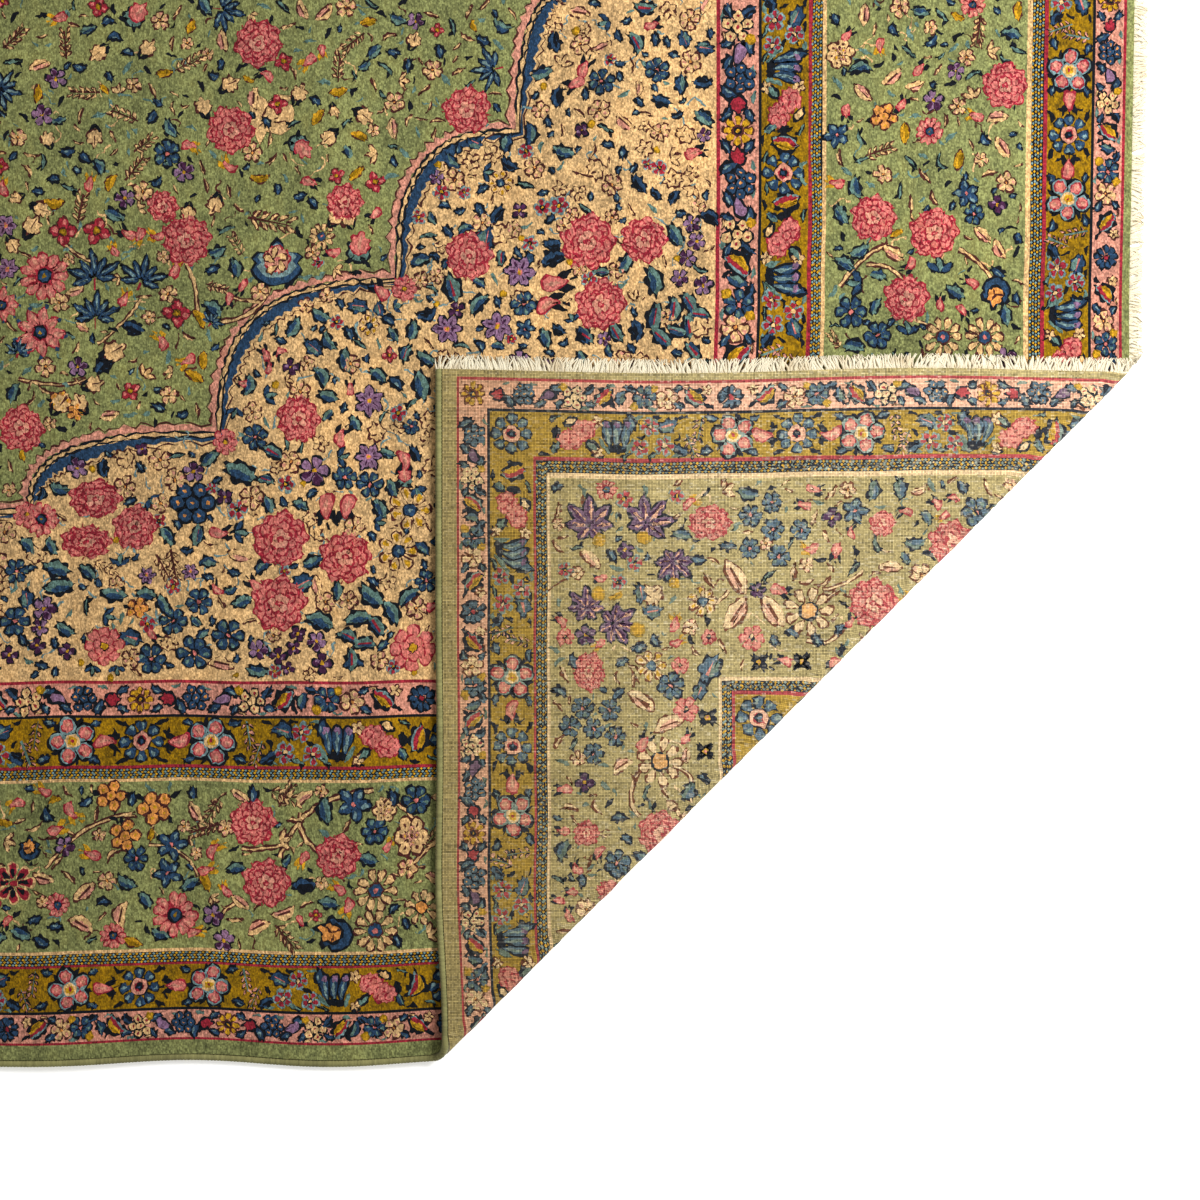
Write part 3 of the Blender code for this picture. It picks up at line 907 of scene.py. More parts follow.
FIELD_CHART = {
    "rose": (
        (469, 256, 26), (588, 243, 30), (601, 306, 28), (300, 420, 23, 0, 1.1), (281, 540, 30),
        (346, 558, 28), (280, 604, 30), (186, 239, 27), (345, 204, 20), (22, 430, 25), (253, 824, 25),
        (268, 884, 26), (339, 857, 24), (874, 219, 25), (935, 234, 27), (909, 299, 25), (135, 529, 24),
    ),
    "deep rose": ((644, 241, 25), (95, 500, 29, 0, 0.72), (87, 543, 28, 0, 0.66), (163, 207, 17)),
    "eyed rose": ((106, 647, 20), (414, 651, 24), (404, 290, 13), (226, 442, 13), (27, 516, 13)),
    "daisy": ((45, 277, 24), (42, 521, 17), (59, 906, 12), (114, 938, 13), (176, 919, 23)),
    "blue-tipped daisy": ((41, 334, 26), (3, 306, 18)),
    "red star": ((62, 232, 15), (96, 232, 15, 20), (178, 313, 15), (391, 357, 8), (317, 916, 7)),
    "spray": (
        (93, 268, 22, -100), (143, 272, 20, -80), (97, 308, 20, -88), (20, 348, 12, -80),
        (215, 318, 10, -60),
    ),
    "bell": (
        (31, 228, 16, -60), (114, 353, 18, -30), (62, 405, 16, -50), (82, 404, 14, -120),
        (335, 219, 12, -60), (349, 221, 12, -110), (40, 210, 13, 20), (188, 212, 13, 100),
        (12, 246, 12, 60), (95, 385, 14, -10),
    ),
    "bud": (
        (126, 234, 11, 30), (374, 217, 10, -40), (330, 253, 10, 10), (242, 288, 9, -60),
        (230, 301, 9, -80), (558, 282, 19, 170), (552, 304, 17, 165), (326, 511, 18, -92),
        (346, 511, 17, -80), (222, 533, 13, 180), (911, 266, 10, -50), (973, 283, 10, 20),
        (943, 303, 9, 90), (966, 313, 9, -120), (404, 465, 14, -90), (266, 354, 9, 60),
        (281, 354, 8, -40), (270, 368, 8, 100), (243, 383, 8, 20), (351, 388, 9, 90),
    ),
    "gold bud": (
        (73, 815, 13, -130), (59, 830, 12, 160), (92, 856, 12, 20), (216, 852, 12, 130),
        (210, 873, 11, 160), (304, 861, 10, -60), (339, 889, 10, 30), (227, 892, 9, 60),
        (349, 909, 11, -60), (42, 791, 10, 30), (162, 341, 11, 60), (187, 361, 11, -30),
        (175, 267, 11, 100), (138, 238, 10, -60),
    ),
    "tulip": ((359, 249, 19, -80), (404, 479, 12, -90)),
    "great tulip": ((276, 262, 28),),
    "cup": ((333, 934, 21, 200), (999, 295, 18, 100), (31, 848, 13, -90)),
    "great floret": ((15, 883, 22),),
    "purple star": (
        (519, 272, 17), (499, 327, 16, 20), (449, 329, 16), (370, 403, 16, 30), (369, 458, 15),
        (191, 573, 9), (147, 577, 9), (8, 270, 12), (5, 227, 12),
    ),
    "pansy": (
        (314, 471, 17, 70), (692, 224, 10, 40), (697, 242, 10, 90), (688, 259, 10, 150),
        (680, 278, 10, 20), (704, 286, 11, 200), (46, 610, 14), (260, 651, 11), (318, 642, 11, 90),
        (214, 919, 12), (224, 944, 12, 60), (79, 368, 11, -90), (606, 340, 8),
    ),
    "plum flower": (
        (280, 657, 10), (295, 649, 9, 40), (324, 664, 12), (39, 647, 10), (69, 653, 10), (11, 655, 10),
        (999, 205, 11),
    ),
    "red floret": (
        (530, 243, 8), (559, 205, 10), (399, 415, 9), (285, 485, 9), (237, 510, 10), (317, 263, 6),
    ),
    "blue flower": (
        (344, 478, 13), (369, 486, 14), (230, 636, 17), (427, 583, 12), (175, 623, 15), (200, 603, 14),
        (153, 661, 16), (196, 655, 18), (17, 571, 13), (17, 622, 16), (524, 304, 14), (138, 861, 13),
        (417, 803, 16), (375, 832, 15), (853, 313, 17), (880, 336, 15),
    ),
    "blue star": ((173, 848, 17), (170, 876, 16, 30), (354, 805, 19, 10), (527, 329, 11)),
    "blue cluster": ((192, 504, 24),),
    "orange cluster": (
        (111, 797, 17), (155, 810, 19, 30), (126, 838, 17, 70), (139, 610, 12), (62, 402, 12),
        (77, 413, 10),
    ),
    "cream daisy": ((378, 892, 22), (376, 932, 22), (946, 338, 20), (988, 338, 20), (321, 237, 13)),
    "sun daisy": ((423, 911, 18),),
    "mottled": ((412, 839, 18, 0, 1.3), (385, 812, 13)),
    "gold daisy": ((409, 511, 22), (399, 553, 21), (371, 327, 11)),
    "brown flower": (
        (291, 463, 12), (251, 498, 13), (354, 528, 11), (326, 603, 11), (349, 601, 10), (417, 611, 12),
        (381, 662, 10), (482, 223, 10), (514, 229, 9), (564, 226, 9), (617, 271, 9), (579, 270, 8),
        (668, 318, 9), (612, 219, 8), (160, 505, 10), (117, 586, 9), (133, 660, 10), (109, 883, 10),
        (409, 871, 11), (352, 365, 10), (312, 253, 9),
    ),
    "pale bloom": (
        (501, 234, 13, 30), (700, 327, 14), (519, 298, 9), (36, 556, 11), (171, 646, 10), (310, 520, 9),
    ),
    "brown leaf": (
        (240, 556, 14, 15), (223, 665, 15, 10), (86, 894, 16, -40), (82, 926, 16, 30),
        (122, 917, 16, 100), (259, 929, 15, 150), (285, 914, 14, 160), (984, 236, 13, 40),
        (1001, 250, 13, 60), (895, 254, 14, 30), (195, 815, 13, 60), (45, 879, 13, 20),
        (240, 797, 12, 30), (317, 586, 12, 80), (304, 799, 12, -40),
    ),
    "frond": (
        (269, 222, 24, 10), (213, 813, 17, 120), (205, 832, 16, 160), (286, 938, 17, 50),
        (285, 797, 18, 20), (165, 570, 17, 60), (174, 565, 16, 80), (105, 568, 14, 20),
        (286, 797, 14, -60), (430, 845, 14, -50),
    ),
    "gold leaf": (
        (201, 318, 12, 60), (195, 376, 12, 30), (54, 204, 12), (204, 360, 11, 90), (133, 945, 12, 20),
        (207, 885, 12, 70),
    ),
    "leaf": (
        (479, 304, 14, -50), (625, 265, 13, 120), (676, 236, 14, 60), (654, 282, 17, 75),
        (547, 338, 12, 70), (322, 316, 12, 30), (295, 328, 13, 120), (330, 342, 12, 60),
        (347, 362, 14, 80), (322, 377, 13, 60), (414, 331, 12, 100), (379, 377, 12, 40),
        (422, 386, 17, 80), (329, 397, 12, 20), (250, 386, 12, 100), (240, 473, 20, 25),
        (300, 506, 10, 20), (268, 505, 11, 70), (321, 622, 17, 20), (372, 597, 17, 40),
        (359, 619, 15, -10), (392, 614, 15, 60), (409, 599, 14, -40), (243, 602, 12, -20),
        (391, 490, 11, 70), (379, 510, 13, 60), (338, 591, 11, 90), (57, 570, 16, 15),
        (60, 588, 17, -10), (88, 573, 12, 40), (115, 595, 15, 10), (67, 631, 12, 30), (28, 547, 12, 50),
        (59, 490, 12, 20), (164, 606, 12, 60), (147, 596, 12, 10), (214, 308, 13, 40),
        (235, 268, 12, 70), (841, 215, 13, 60), (846, 264, 13, 30), (861, 252, 12, -30),
        (958, 293, 12, 30), (1009, 315, 12, 80), (325, 811, 15, 85), (128, 885, 12, 30),
        (161, 938, 11, 20), (147, 903, 11, 60), (192, 888, 12, -30), (369, 860, 12, 20),
        (330, 904, 12, 10),
    ),
    "toothed leaf": (
        (303, 584, 15, -30), (488, 238, 15, 100), (359, 308, 13, 10), (315, 348, 13, 40),
        (133, 639, 14, 20), (28, 600, 12, 80),
    ),
    "dark leaf": (
        (553, 258, 15, -20), (710, 218, 12, 30), (638, 332, 13, 80), (585, 336, 12, 60),
        (306, 886, 14, 0), (106, 365, 14, -40), (134, 329, 13, 20), (553, 244, 11, 5),
        (497, 215, 12, -60), (560, 330, 9, 30), (415, 455, 10, 60),
    ),
    "red-veined leaf": (
        (452, 288, 17, 70), (656, 318, 16, 100), (674, 310, 15, 95), (690, 304, 14, 60),
        (700, 315, 13, 5), (690, 327, 14, 80), (663, 338, 15, 40), (678, 331, 12, 20),
        (273, 453, 13, 30), (349, 637, 13, 20), (377, 627, 14, 50), (353, 660, 13, 90),
        (366, 645, 13, 0), (618, 334, 13, 60), (588, 337, 11, 40),
    ),
    "split leaf": (
        (354, 662, 13, 90), (238, 533, 14, 0), (121, 564, 12, -90), (151, 501, 12, 40),
        (93, 669, 10, 90), (118, 669, 10, 90), (377, 524, 11, 10), (416, 491, 12, 60),
        (860, 284, 16, 180), (941, 270, 16, -90), (909, 332, 14, -90), (108, 617, 12, 20),
    ),
    "small leaf": (
        (283, 503, 7, 60), (43, 667, 8, 20), (25, 641, 8, 60), (374, 583, 8, 40), (235, 573, 8, 10),
        (48, 816, 10, 60), (42, 942, 10, 30), (253, 796, 10, 90), (393, 800, 10, 80),
        (1001, 273, 10, 30), (480, 210, 9, 60), (529, 258, 8, 80), (397, 385, 10, 40),
        (351, 334, 9, 60), (390, 322, 9, 30),
    ),
}
# On the turned corner, in the same columns
CORNER_CHART = {
    "lily": (
        (590, 518, 29, -90), (650, 516, 29, -50), (674, 563, 23, 90), (586, 603, 22, -90),
        (618, 622, 25, 10),
    ),
    "gold dot": ((600, 538, 7), (644, 534, 7), (598, 592, 7), (674, 580, 6), (638, 627, 8)),
    "red floret": ((625, 496, 9), (677, 493, 8), (565, 568, 8), (635, 560, 8), (618, 580, 8)),
    "rose": (
        (710, 521, 23, 0, 0.85), (590, 670, 22, 90, 0.75), (882, 523, 14), (952, 545, 25),
        (872, 602, 26), (660, 832, 24), (610, 891, 14), (586, 832, 14),
    ),
    "blue flower": (
        (772, 501, 11), (751, 514, 12), (773, 528, 12), (801, 529, 11), (750, 547, 11), (779, 555, 12),
        (583, 706, 12), (610, 708, 12), (570, 725, 11), (594, 727, 11), (616, 735, 11), (594, 752, 11),
        (976, 513, 15),
    ),
    "toothed leaf": ((711, 668, 18, -60), (700, 690, 12, 120), (652, 608, 12, 0), (640, 590, 12, 80)),
    "gold daisy": ((702, 600, 15), (652, 663, 16)),
    "pale bloom": ((651, 592, 14, 60),),
    "brown leaf": (
        (735, 576, 22, 60), (735, 613, 22, -60), (772, 611, 22, 55), (642, 699, 18, 35),
        (669, 722, 18, -20),
    ),
    "rose floret": ((752, 637, 13), (686, 708, 13), (709, 636, 8), (566, 635, 9), (681, 663, 9)),
    "sun daisy": ((808, 611, 25), (661, 760, 24)),
    "bud": (
        (780, 590, 12, 200), (645, 740, 12, 120), (935, 504, 9, 40), (952, 500, 8), (904, 512, 9),
        (836, 553, 11, -80), (851, 531, 8, 90), (561, 830, 9), (577, 866, 9, 60), (571, 891, 8),
        (569, 912, 8, 90),
    ),
    "navy cross": ((760, 662, 12), (803, 661, 12), (708, 717, 12), (706, 751, 12)),
    "plum flower": ((832, 517, 11), (585, 781, 11)),
    "small leaf": (
        (668, 573, 8, 90), (728, 545, 9, 0), (656, 638, 8, 60), (612, 553, 8, 60), (698, 558, 9, 10),
        (640, 645, 9, -20), (575, 660, 9, 60), (623, 660, 8, -30), (560, 690, 9, 20), (775, 640, 8, 60),
        (792, 632, 8, 20), (818, 640, 9, 50),
    ),
}
# Repeats along a band, from one rosette to the next: motif, share of the way, share of the half
# width off the middle, radius as a share of the half width, turn
MUSTARD_REPEAT = (
    ("bud", 0.11, 0.0, 0.62, 0), ("lobed rose", 0.225, 0.0, 0.96, 0), ("twig", 0.345, -0.35, 0.6, 80),
    ("twig", 0.375, 0.42, 0.56, 110), ("small leaf", 0.32, 0.72, 0.34, 20),
    ("toothed leaf", 0.455, -0.48, 0.56, 20), ("white-eyed floret", 0.515, -0.42, 0.44, 0),
    ("white-eyed floret", 0.465, 0.44, 0.48, 30), ("white-eyed floret", 0.553, 0.52, 0.44, 10),
    ("dark leaf", 0.41, 0.66, 0.44, -35), ("small leaf", 0.583, -0.6, 0.46, 95),
    ("curl", 0.505, 0.82, 0.34, 10), ("three bells", 0.632, -0.02, 0.8, -90),
    ("curl", 0.595, 0.82, 0.32, 15), ("double rose", 0.772, 0.0, 0.98, 0),
    ("brown star", 0.698, -0.62, 0.32, 0), ("leaf", 0.845, 0.55, 0.34, 60),
    ("brown star", 0.7, 0.74, 0.28, 0), ("striped leaf", 0.898, -0.08, 0.6, -75),
    ("curl", 0.85, -0.78, 0.3, 10), ("tick", 0.065, 0.8, 0.3, 20),
    ("tick", 0.065, -0.8, 0.3, -20), ("small leaf", 0.155, 0.78, 0.3, -15),
    ("small leaf", 0.3, -0.8, 0.32, -15), ("curl", 0.945, 0.76, 0.32, 10),
    ("small leaf", 0.15, -0.76, 0.28, 20), ("tick", 0.415, 0.05, 0.24, 60),
    ("tick", 0.545, 0.02, 0.24, 20), ("tick", 0.405, -0.85, 0.22, 10), ("tick", 0.49, -0.86, 0.24, 0),
    ("tick", 0.955, 0.1, 0.24, 100), ("pale tick", 0.56, -0.86, 0.26, 5),
    ("pale tick", 0.42, 0.88, 0.26, 0), ("tick", 0.7, 0.92, 0.28, 0), ("tick", 0.885, 0.88, 0.26, 8),
    ("pale tick", 0.975, -0.8, 0.26, 30), ("tick", 0.255, 0.94, 0.2, 0),
    ("ringed dot", 0.545, -0.62, 0.14, 0), ("tick", 0.085, 0.4, 0.2, 70),
    ("tick", 0.085, -0.4, 0.2, -70),
)
# from the gold rosette to the dark one
PINK_REPEAT = (
    ("wedge", 0.095, 0.0, 0.6, 180), ("small leaf", 0.145, 0.5, 0.62, 60),
    ("blue cluster", 0.2, -0.08, 0.9, 0), ("small leaf", 0.262, 0.55, 0.52, -30),
    ("plum bud", 0.29, -0.02, 0.66, -20), ("small leaf", 0.325, -0.5, 0.56, 20),
    ("small leaf", 0.335, 0.6, 0.46, -60), ("cream cluster", 0.395, 0.08, 0.92, 0),
    ("gold dot", 0.352, -0.62, 0.28, 0), ("dark leaf", 0.452, -0.45, 0.56, -50),
    ("small leaf", 0.458, 0.55, 0.46, 20), ("striped leaf", 0.51, 0.0, 0.82, 130),
    ("blue leaf", 0.575, 0.05, 0.66, 110), ("blue flower", 0.665, -0.04, 0.88, 0),
    ("gold dot", 0.625, 0.62, 0.3, 0), ("gold dot", 0.705, -0.62, 0.28, 0),
    ("dark leaf", 0.61, -0.6, 0.5, 25), ("brown flower", 0.752, 0.1, 0.84, 0),
    ("small leaf", 0.8, 0.6, 0.5, 30), ("small leaf", 0.795, -0.6, 0.44, -30),
    ("striped leaf", 0.862, -0.02, 0.84, 40), ("brown star", 0.91, -0.52, 0.44, 0),
    ("small leaf", 0.06, -0.6, 0.48, 30), ("small leaf", 0.06, 0.6, 0.48, -30),
    ("tick", 0.915, 0.6, 0.36, 30), ("pale tick", 0.235, -0.75, 0.32, 10),
    ("pale tick", 0.43, 0.86, 0.36, 0), ("pale tick", 0.54, -0.8, 0.36, 10),
    ("pale tick", 0.7, 0.84, 0.34, 0), ("pale tick", 0.13, -0.8, 0.34, -10),
    ("tick", 0.545, 0.6, 0.34, 50), ("brown tick", 0.36, 0.82, 0.3, 10),
    ("brown tick", 0.83, -0.8, 0.3, 0),
)
# band number: repeat, rosettes at its even and odd places, then for the side band and for the end
# band: where the rosette is that the others are counted from, half a period (both in pixels), and 1
# if the even halves are the mirrored ones or 0 if the odd halves are
REPEATS = {
    2: (PINK_REPEAT, ("gold rosette", "dark rosette"), (1112, 221, 0), (1029, 257, 0)),
    4: (MUSTARD_REPEAT, ("rosette", "rosette"), (1064, 308, 1), (990, 285, 1)),
    12: (MUSTARD_REPEAT, ("rosette", "rosette"), (758, 308, 0), (742, 285, 1)),
    14: (PINK_REPEAT, ("gold rosette", "dark rosette"), (704, 282, 0), (655, 262, 0)),
}
# Stems: start x, y, bend x, y, end x, y, width
STEMS = (
    (374, 791, 300, 795, 281, 858, 6), (301, 814, 296, 838, 320, 852, 6),
    (285, 845, 262, 852, 243, 850, 5), (132, 815, 82, 822, 48, 869, 5),
    (841, 287, 868, 250, 890, 246, 6), (868, 266, 890, 262, 905, 280, 5),
    (223, 322, 262, 318, 270, 288, 6), (262, 303, 240, 300, 226, 296, 4),
    (98, 345, 130, 322, 142, 300, 4), (150, 848, 190, 850, 200, 880, 4),
    (380, 800, 408, 806, 418, 830, 5), (410, 870, 430, 850, 445, 838, 5),
    (236, 906, 222, 915, 216, 930, 5), (60, 240, 80, 262, 96, 262, 4), (20, 380, 60, 392, 88, 380, 4),
    (960, 250, 985, 262, 998, 285, 5), (915, 320, 935, 325, 945, 335, 4),
    (186, 262, 200, 290, 198, 318, 5),
)
CORNER_STEMS = (
    (640, 770, 622, 800, 640, 815, 5), (808, 640, 830, 652, 845, 625, 5),
    (822, 590, 850, 585, 862, 570, 4), (690, 800, 700, 770, 675, 765, 4),
    (728, 590, 720, 600, 712, 604, 4),
)

# zone: filling motifs with their shares and radii (motif, share, least, most)
FILLINGS = {
    "spandrel": (
        ("leaf", 20, 8, 13), ("blue leaf", 14, 8, 13), ("dark leaf", 8, 7, 12),
        ("red-veined leaf", 9, 9, 13), ("toothed leaf", 8, 9, 12), ("split leaf", 9, 9, 13),
        ("small leaf", 22, 5, 8), ("brown flower", 17, 8, 12), ("brown star", 11, 7, 10),
        ("pale bloom", 8, 9, 12), ("brown leaf", 8, 9, 13), ("pansy", 6, 8, 12),
        ("plum flower", 5, 8, 10), ("purple star", 4, 9, 14), ("red floret", 6, 6, 9),
        ("blue flower", 9, 9, 14), ("bud", 7, 9, 13), ("gold daisy", 2, 10, 14), ("rose", 5, 16, 26),
        ("gold dot", 2, 3, 4), ("brown tick", 9, 5, 8), ("curl", 6, 7, 10),
        ("brown split leaf", 9, 8, 12), ("pale tick", 6, 4, 7),
    ),
    "field": (
        ("small leaf", 9, 5, 9), ("leaf", 8, 8, 12), ("spray", 9, 11, 18), ("bell", 10, 9, 14),
        ("bud", 5, 8, 11), ("gold bud", 5, 8, 11), ("gold leaf", 7, 7, 11), ("frond", 8, 11, 16),
        ("brown leaf", 8, 9, 13), ("daisy", 4, 14, 22), ("red star", 5, 7, 11), ("rose", 5, 16, 26),
        ("pansy", 3, 8, 12), ("tick", 7, 4, 7), ("brown flower", 8, 7, 11), ("tulip", 3, 12, 17),
        ("blue flower", 3, 10, 15), ("brown tick", 16, 5, 9), ("pale tick", 12, 4, 8),
        ("curl", 6, 6, 10), ("brown split leaf", 6, 8, 12),
    ),
    "border": (
        ("small leaf", 10, 5, 9), ("leaf", 10, 8, 13), ("tick", 7, 4, 7), ("bud", 5, 8, 10),
        ("gold bud", 6, 8, 11), ("brown leaf", 12, 9, 14), ("frond", 8, 11, 16),
        ("brown split leaf", 9, 9, 13), ("orange cluster", 4, 10, 16), ("blue flower", 5, 10, 15),
        ("cream daisy", 4, 14, 20), ("daisy", 3, 10, 14), ("rose", 5, 15, 25), ("mottled", 3, 10, 16),
        ("gold leaf", 5, 8, 12), ("pansy", 3, 9, 12), ("blue star", 3, 11, 15),
        ("brown flower", 8, 7, 11), ("brown tick", 20, 5, 10), ("pale tick", 10, 4, 8),
        ("curl", 6, 6, 10),
    ),
}
# zone: gap between the motifs as a share of their radii
FILLING_GAP = {"spandrel": 0.86, "field": 0.92, "border": 0.9}
FILLING_TRIES = 42000
MOST_FILLINGS = 4000
LARGE_FILLING = 20  # fillings that may reach this radius are only laid among the first tries
LARGE_UNTIL = 0.25  # share of the tries
SHRINKING = 1.6  # how fast the fillings get smaller as the tries go on
FIELD_ROOM = 8  # pixels kept free inside the scalloped edge
SPANDREL_ROOM = 12  # and outside it
# zone: light scrolls, how many and how long in pixels
SCROLLS = {"spandrel": (260, 26), "field": (150, 26), "border": (190, 24)}
SCROLL_STEPS = 8
SCROLL_ROOM = 12
# Lines along the scalloped edge: yarn, rise, then for each side of the line how many pixels it lies
# inside the edge, how many the scallop's swell adds, and how much of the wave it follows
EDGING = (
    ("brown", 0.0, (7.0, 0.0, 1.0), (8.5, 0.0, 1.0)),
    ("pink", 0.0, (0.5, 0.0, 0.0), (6.8, 0.0, 1.0)),
    ("navy", 0.3, (-1.6, 0.0, -0.5), (0.6, 0.0, -0.5)),
    ("cream", 0.0, (-4.2, 0.0, 0.0), (-1.6, 0.0, -0.5)),
    ("navy", 0.3, (-6.2, 0.0, 0.4), (-4.2, 0.0, 0.4)),
    ("blue", 0.0, (-8.4, -8.5, 0.8), (-6.0, 0.0, 0.0)),
    ("brown", 0.0, (-11.2, -10.5, 1.0), (-9.9, -10.5, 1.0)),
)
FIELD_ROWS = 22
# Small diamonds of the guards: where their lanes lie across the band, their spacing in pixels and
# half their size along the band and across it
DIAMOND_LANES = (0.13, 0.38, 0.62, 0.87)
DIAMOND_PITCH = 6.6
DIAMOND_HALF = (1.55, 1.3)
PERIODS = range(-9, 4)  # halves of a repeat, counted from the first rosette
ROSETTE_SIZE = 0.92  # share of the band's half width
CORNER_ROOM = 1.3  # half widths kept free for the corner's rosette

# ---- Drawing the quarter ---------------------------------------------------------------------------


def flat_places(pixels, rise):
    """Return picture pixels on the flat quarter as rug metres, with the rise in steps."""
    places = np.empty((len(pixels), 3))
    places[:, 0] = (pixels[:, 0] + PICTURE_LEFT) * PIXEL
    places[:, 1] = -(pixels[:, 1] + PICTURE_TOP) * PIXEL
    places[:, 2] = rise
    return places


class Design:
    """The quarter's flat patches, kept by yarn; their third column is the rise in steps."""

    def __init__(self, seed, edge):
        self.parts = {yarn: [] for yarn in YARNS}
        self.taken = []  # x, y, radius of every motif
        self.rng = np.random.default_rng(seed)
        self.edge_rng = np.random.default_rng(seed + 1)
        self.edge_length, self.waver, self.smallest = edge

    def add(self, yarn, pixels, rise, corners):
        self.parts[yarn].append((flat_places(pixels, rise), corners))

    def motif(self, name, x, y, radius, turn=0.0, widening=1.0, on_corner=False):
        """Draw one motif; on the turned corner its place is first brought to the flat rug."""
        lift = self.rng.uniform(0, 0.6)
        first_stamp, _, _, first_count = MOTIFS[name][0][:4]
        leafy = radius < 20 and first_count == 1 and first_stamp in ("leaf", "tooth", "petal")
        bend = self.rng.normal(0, 0.24 if leafy else 0.05)
        c, s = direction(turn)
        turning = np.array(((c, s), (-s, c)))
        shifts = {}  # patches that belong together shift together
        for stamp, yarn, step, count, at_x, at_y, long, wide, heading in MOTIFS[name]:
            _, fewest, most = STAMPS[stamp]
            sides = round(math.pi * (long + wide) * radius / self.edge_length / 2) * 2
            sides = int(np.clip(sides, fewest, most))
            shape, corners = stamp_arrays(stamp, sides)
            c, s = direction(heading)
            shape = (shape * (long, wide)) @ np.array(((c, s), (-s, c))) + (at_x, at_y)
            around = math.tau * np.arange(count) / count
            turned = np.empty((count, len(shape), 2))
            turned[:, :, 0] = np.outer(np.cos(around), shape[:, 0]) - np.outer(np.sin(around), shape[:, 1])
            turned[:, :, 1] = np.outer(np.sin(around), shape[:, 0]) + np.outer(np.cos(around), shape[:, 1])
            if count not in shifts:
                shifts[count] = self.rng.normal(0, 0.03 if count > 1 else 0.0, (count, 1, 2))
            if long * wide * radius**2 < self.smallest:
                continue
            turned += shifts[count]
            turned[:, :, 1] += bend * (turned[:, :, 0] ** 2 - 0.3)
            pixels = (turned.reshape(-1, 2) * (1, widening)) @ turning * radius + (x, y)
            pixels += self.edge_rng.normal(0, self.waver, pixels.shape) * WAVER
            if on_corner:
                pixels = FLAP_SUM - pixels[:, ::-1]
            self.add(yarn, pixels, step + lift, repeated(corners, len(shape), count))
        if on_corner:
            x, y = FLAP_SUM - y, FLAP_SUM - x
        self.taken.append((x, y, radius * 0.86))

    def ribbon(self, yarn, path, low, high, rise):
        """Draw a strip along a path of pixels, between two distances to its left."""
        along = np.gradient(path, axis=0)
        along /= np.maximum(np.linalg.norm(along, axis=1, keepdims=True), 1e-9)
        left = np.stack((along[:, 1], -along[:, 0]), axis=1)
        grid, corners = grid_arrays(len(path) - 1, 1)
        index = np.rint(grid[:, 0] * (len(path) - 1)).astype(int)
        low, high = (np.broadcast_to(side, len(path))[index] for side in (low, high))
        offset = np.where(grid[:, 1] < 0.5, low, high)
        pixels = path[index] + left[index] * (offset + self.edge_rng.normal(0, 0.55, len(index)))[:, None]
        self.add(yarn, pixels, rise, corners)

    def stem(self, x0, y0, x1, y1, x2, y2, width, on_corner=False):
        """Draw a brown stem with a pale middle along a curve."""
        steps = max(4, round(math.dist((x0, y0), (x2, y2)) / 4))
        t = np.linspace(0, 1, steps)[:, None]
        path = (1 - t) ** 2 * (x0, y0) + 2 * t * (1 - t) * (x1, y1) + t**2 * (x2, y2)
        path += self.rng.normal(0, 0.3, path.shape)
        if on_corner:
            path = FLAP_SUM - path[:, ::-1]
        self.ribbon("brown", path, -width / 2, width / 2, 0.6)
        self.ribbon("cream", path, -width / 5, width / 5, 1.2)
        middle = path[len(path) // 2]
        self.taken.append((middle[0], middle[1], width))

    def diamonds(self, yarn, pixels, half_size):
        """Draw small diamonds at many places, one step up."""
        shape, corners = stamp_arrays("diamond", 4)
        put = (pixels[:, None, :] + shape[None] * half_size).reshape(-1, 2)
        self.add(yarn, put, 1, repeated(corners, len(shape), len(pixels)))


def scallops():
    """Yield each scallop's two cusps and the number of steps between them."""
    for first, last in zip(FIELD_CUSPS, FIELD_CUSPS[1:]):
        yield first, last, max(6, round(math.dist(first, last) / 4))


@lru_cache(maxsize=None)
def scallop_path():
    """Return the scalloped edge of the green field as pixels, from the short axis to the long one."""
    path = []
    for (x0, y0), (x1, y1), steps in scallops():
        turn = np.linspace(0, math.pi / 2, steps, endpoint=False)
        x = x1 - (x1 - x0) * np.cos(turn) ** CUSP_POWER
        y = y0 - (y0 - y1) * np.sin(turn) ** CUSP_POWER
        path.append(np.stack((x, y), axis=1))
    path.append(np.array([FIELD_CUSPS[-1]], dtype=float))
    return np.concatenate(path)


def field_share(x, y):
    """Return how far out towards the scalloped edge places lie, from 0 to 1 at the edge."""
    path = scallop_path() + (PICTURE_LEFT, PICTURE_TOP)
    angle = np.arctan2(path[:, 1], path[:, 0])
    order = np.argsort(angle)
    x = x + PICTURE_LEFT
    y = y + PICTURE_TOP
    edge = np.interp(np.arctan2(y, x), angle[order], np.hypot(*path[order].T))
    return np.hypot(x, y) / edge


def draw_field(design):
    """Draw the green field and the wavy lines along its scallops."""
    path = scallop_path()
    grid, corners = grid_arrays(len(path) - 1, FIELD_ROWS)
    index = np.rint(grid[:, 0] * (len(path) - 1)).astype(int)
    middle = np.array((-PICTURE_LEFT, -PICTURE_TOP))
    design.add("green", middle + (path[index] - middle) * grid[:, 1:2], FIELD_LEVEL, corners)
    swell = np.zeros(len(path))
    start = 0
    for _, _, steps in scallops():
        swell[start : start + steps] = np.sin(np.linspace(0, math.pi, steps))
        start += steps
    wave = 2.1 * np.sin(np.arange(len(path)) * 2.1) + design.rng.normal(0, 0.9, len(path))
    for yarn, rise, *sides in EDGING:
        low, high = (away + by_swell * swell + by_wave * wave for away, by_swell, by_wave in sides)
        design.ribbon(yarn, path, low, high, EDGING_LEVEL + rise)


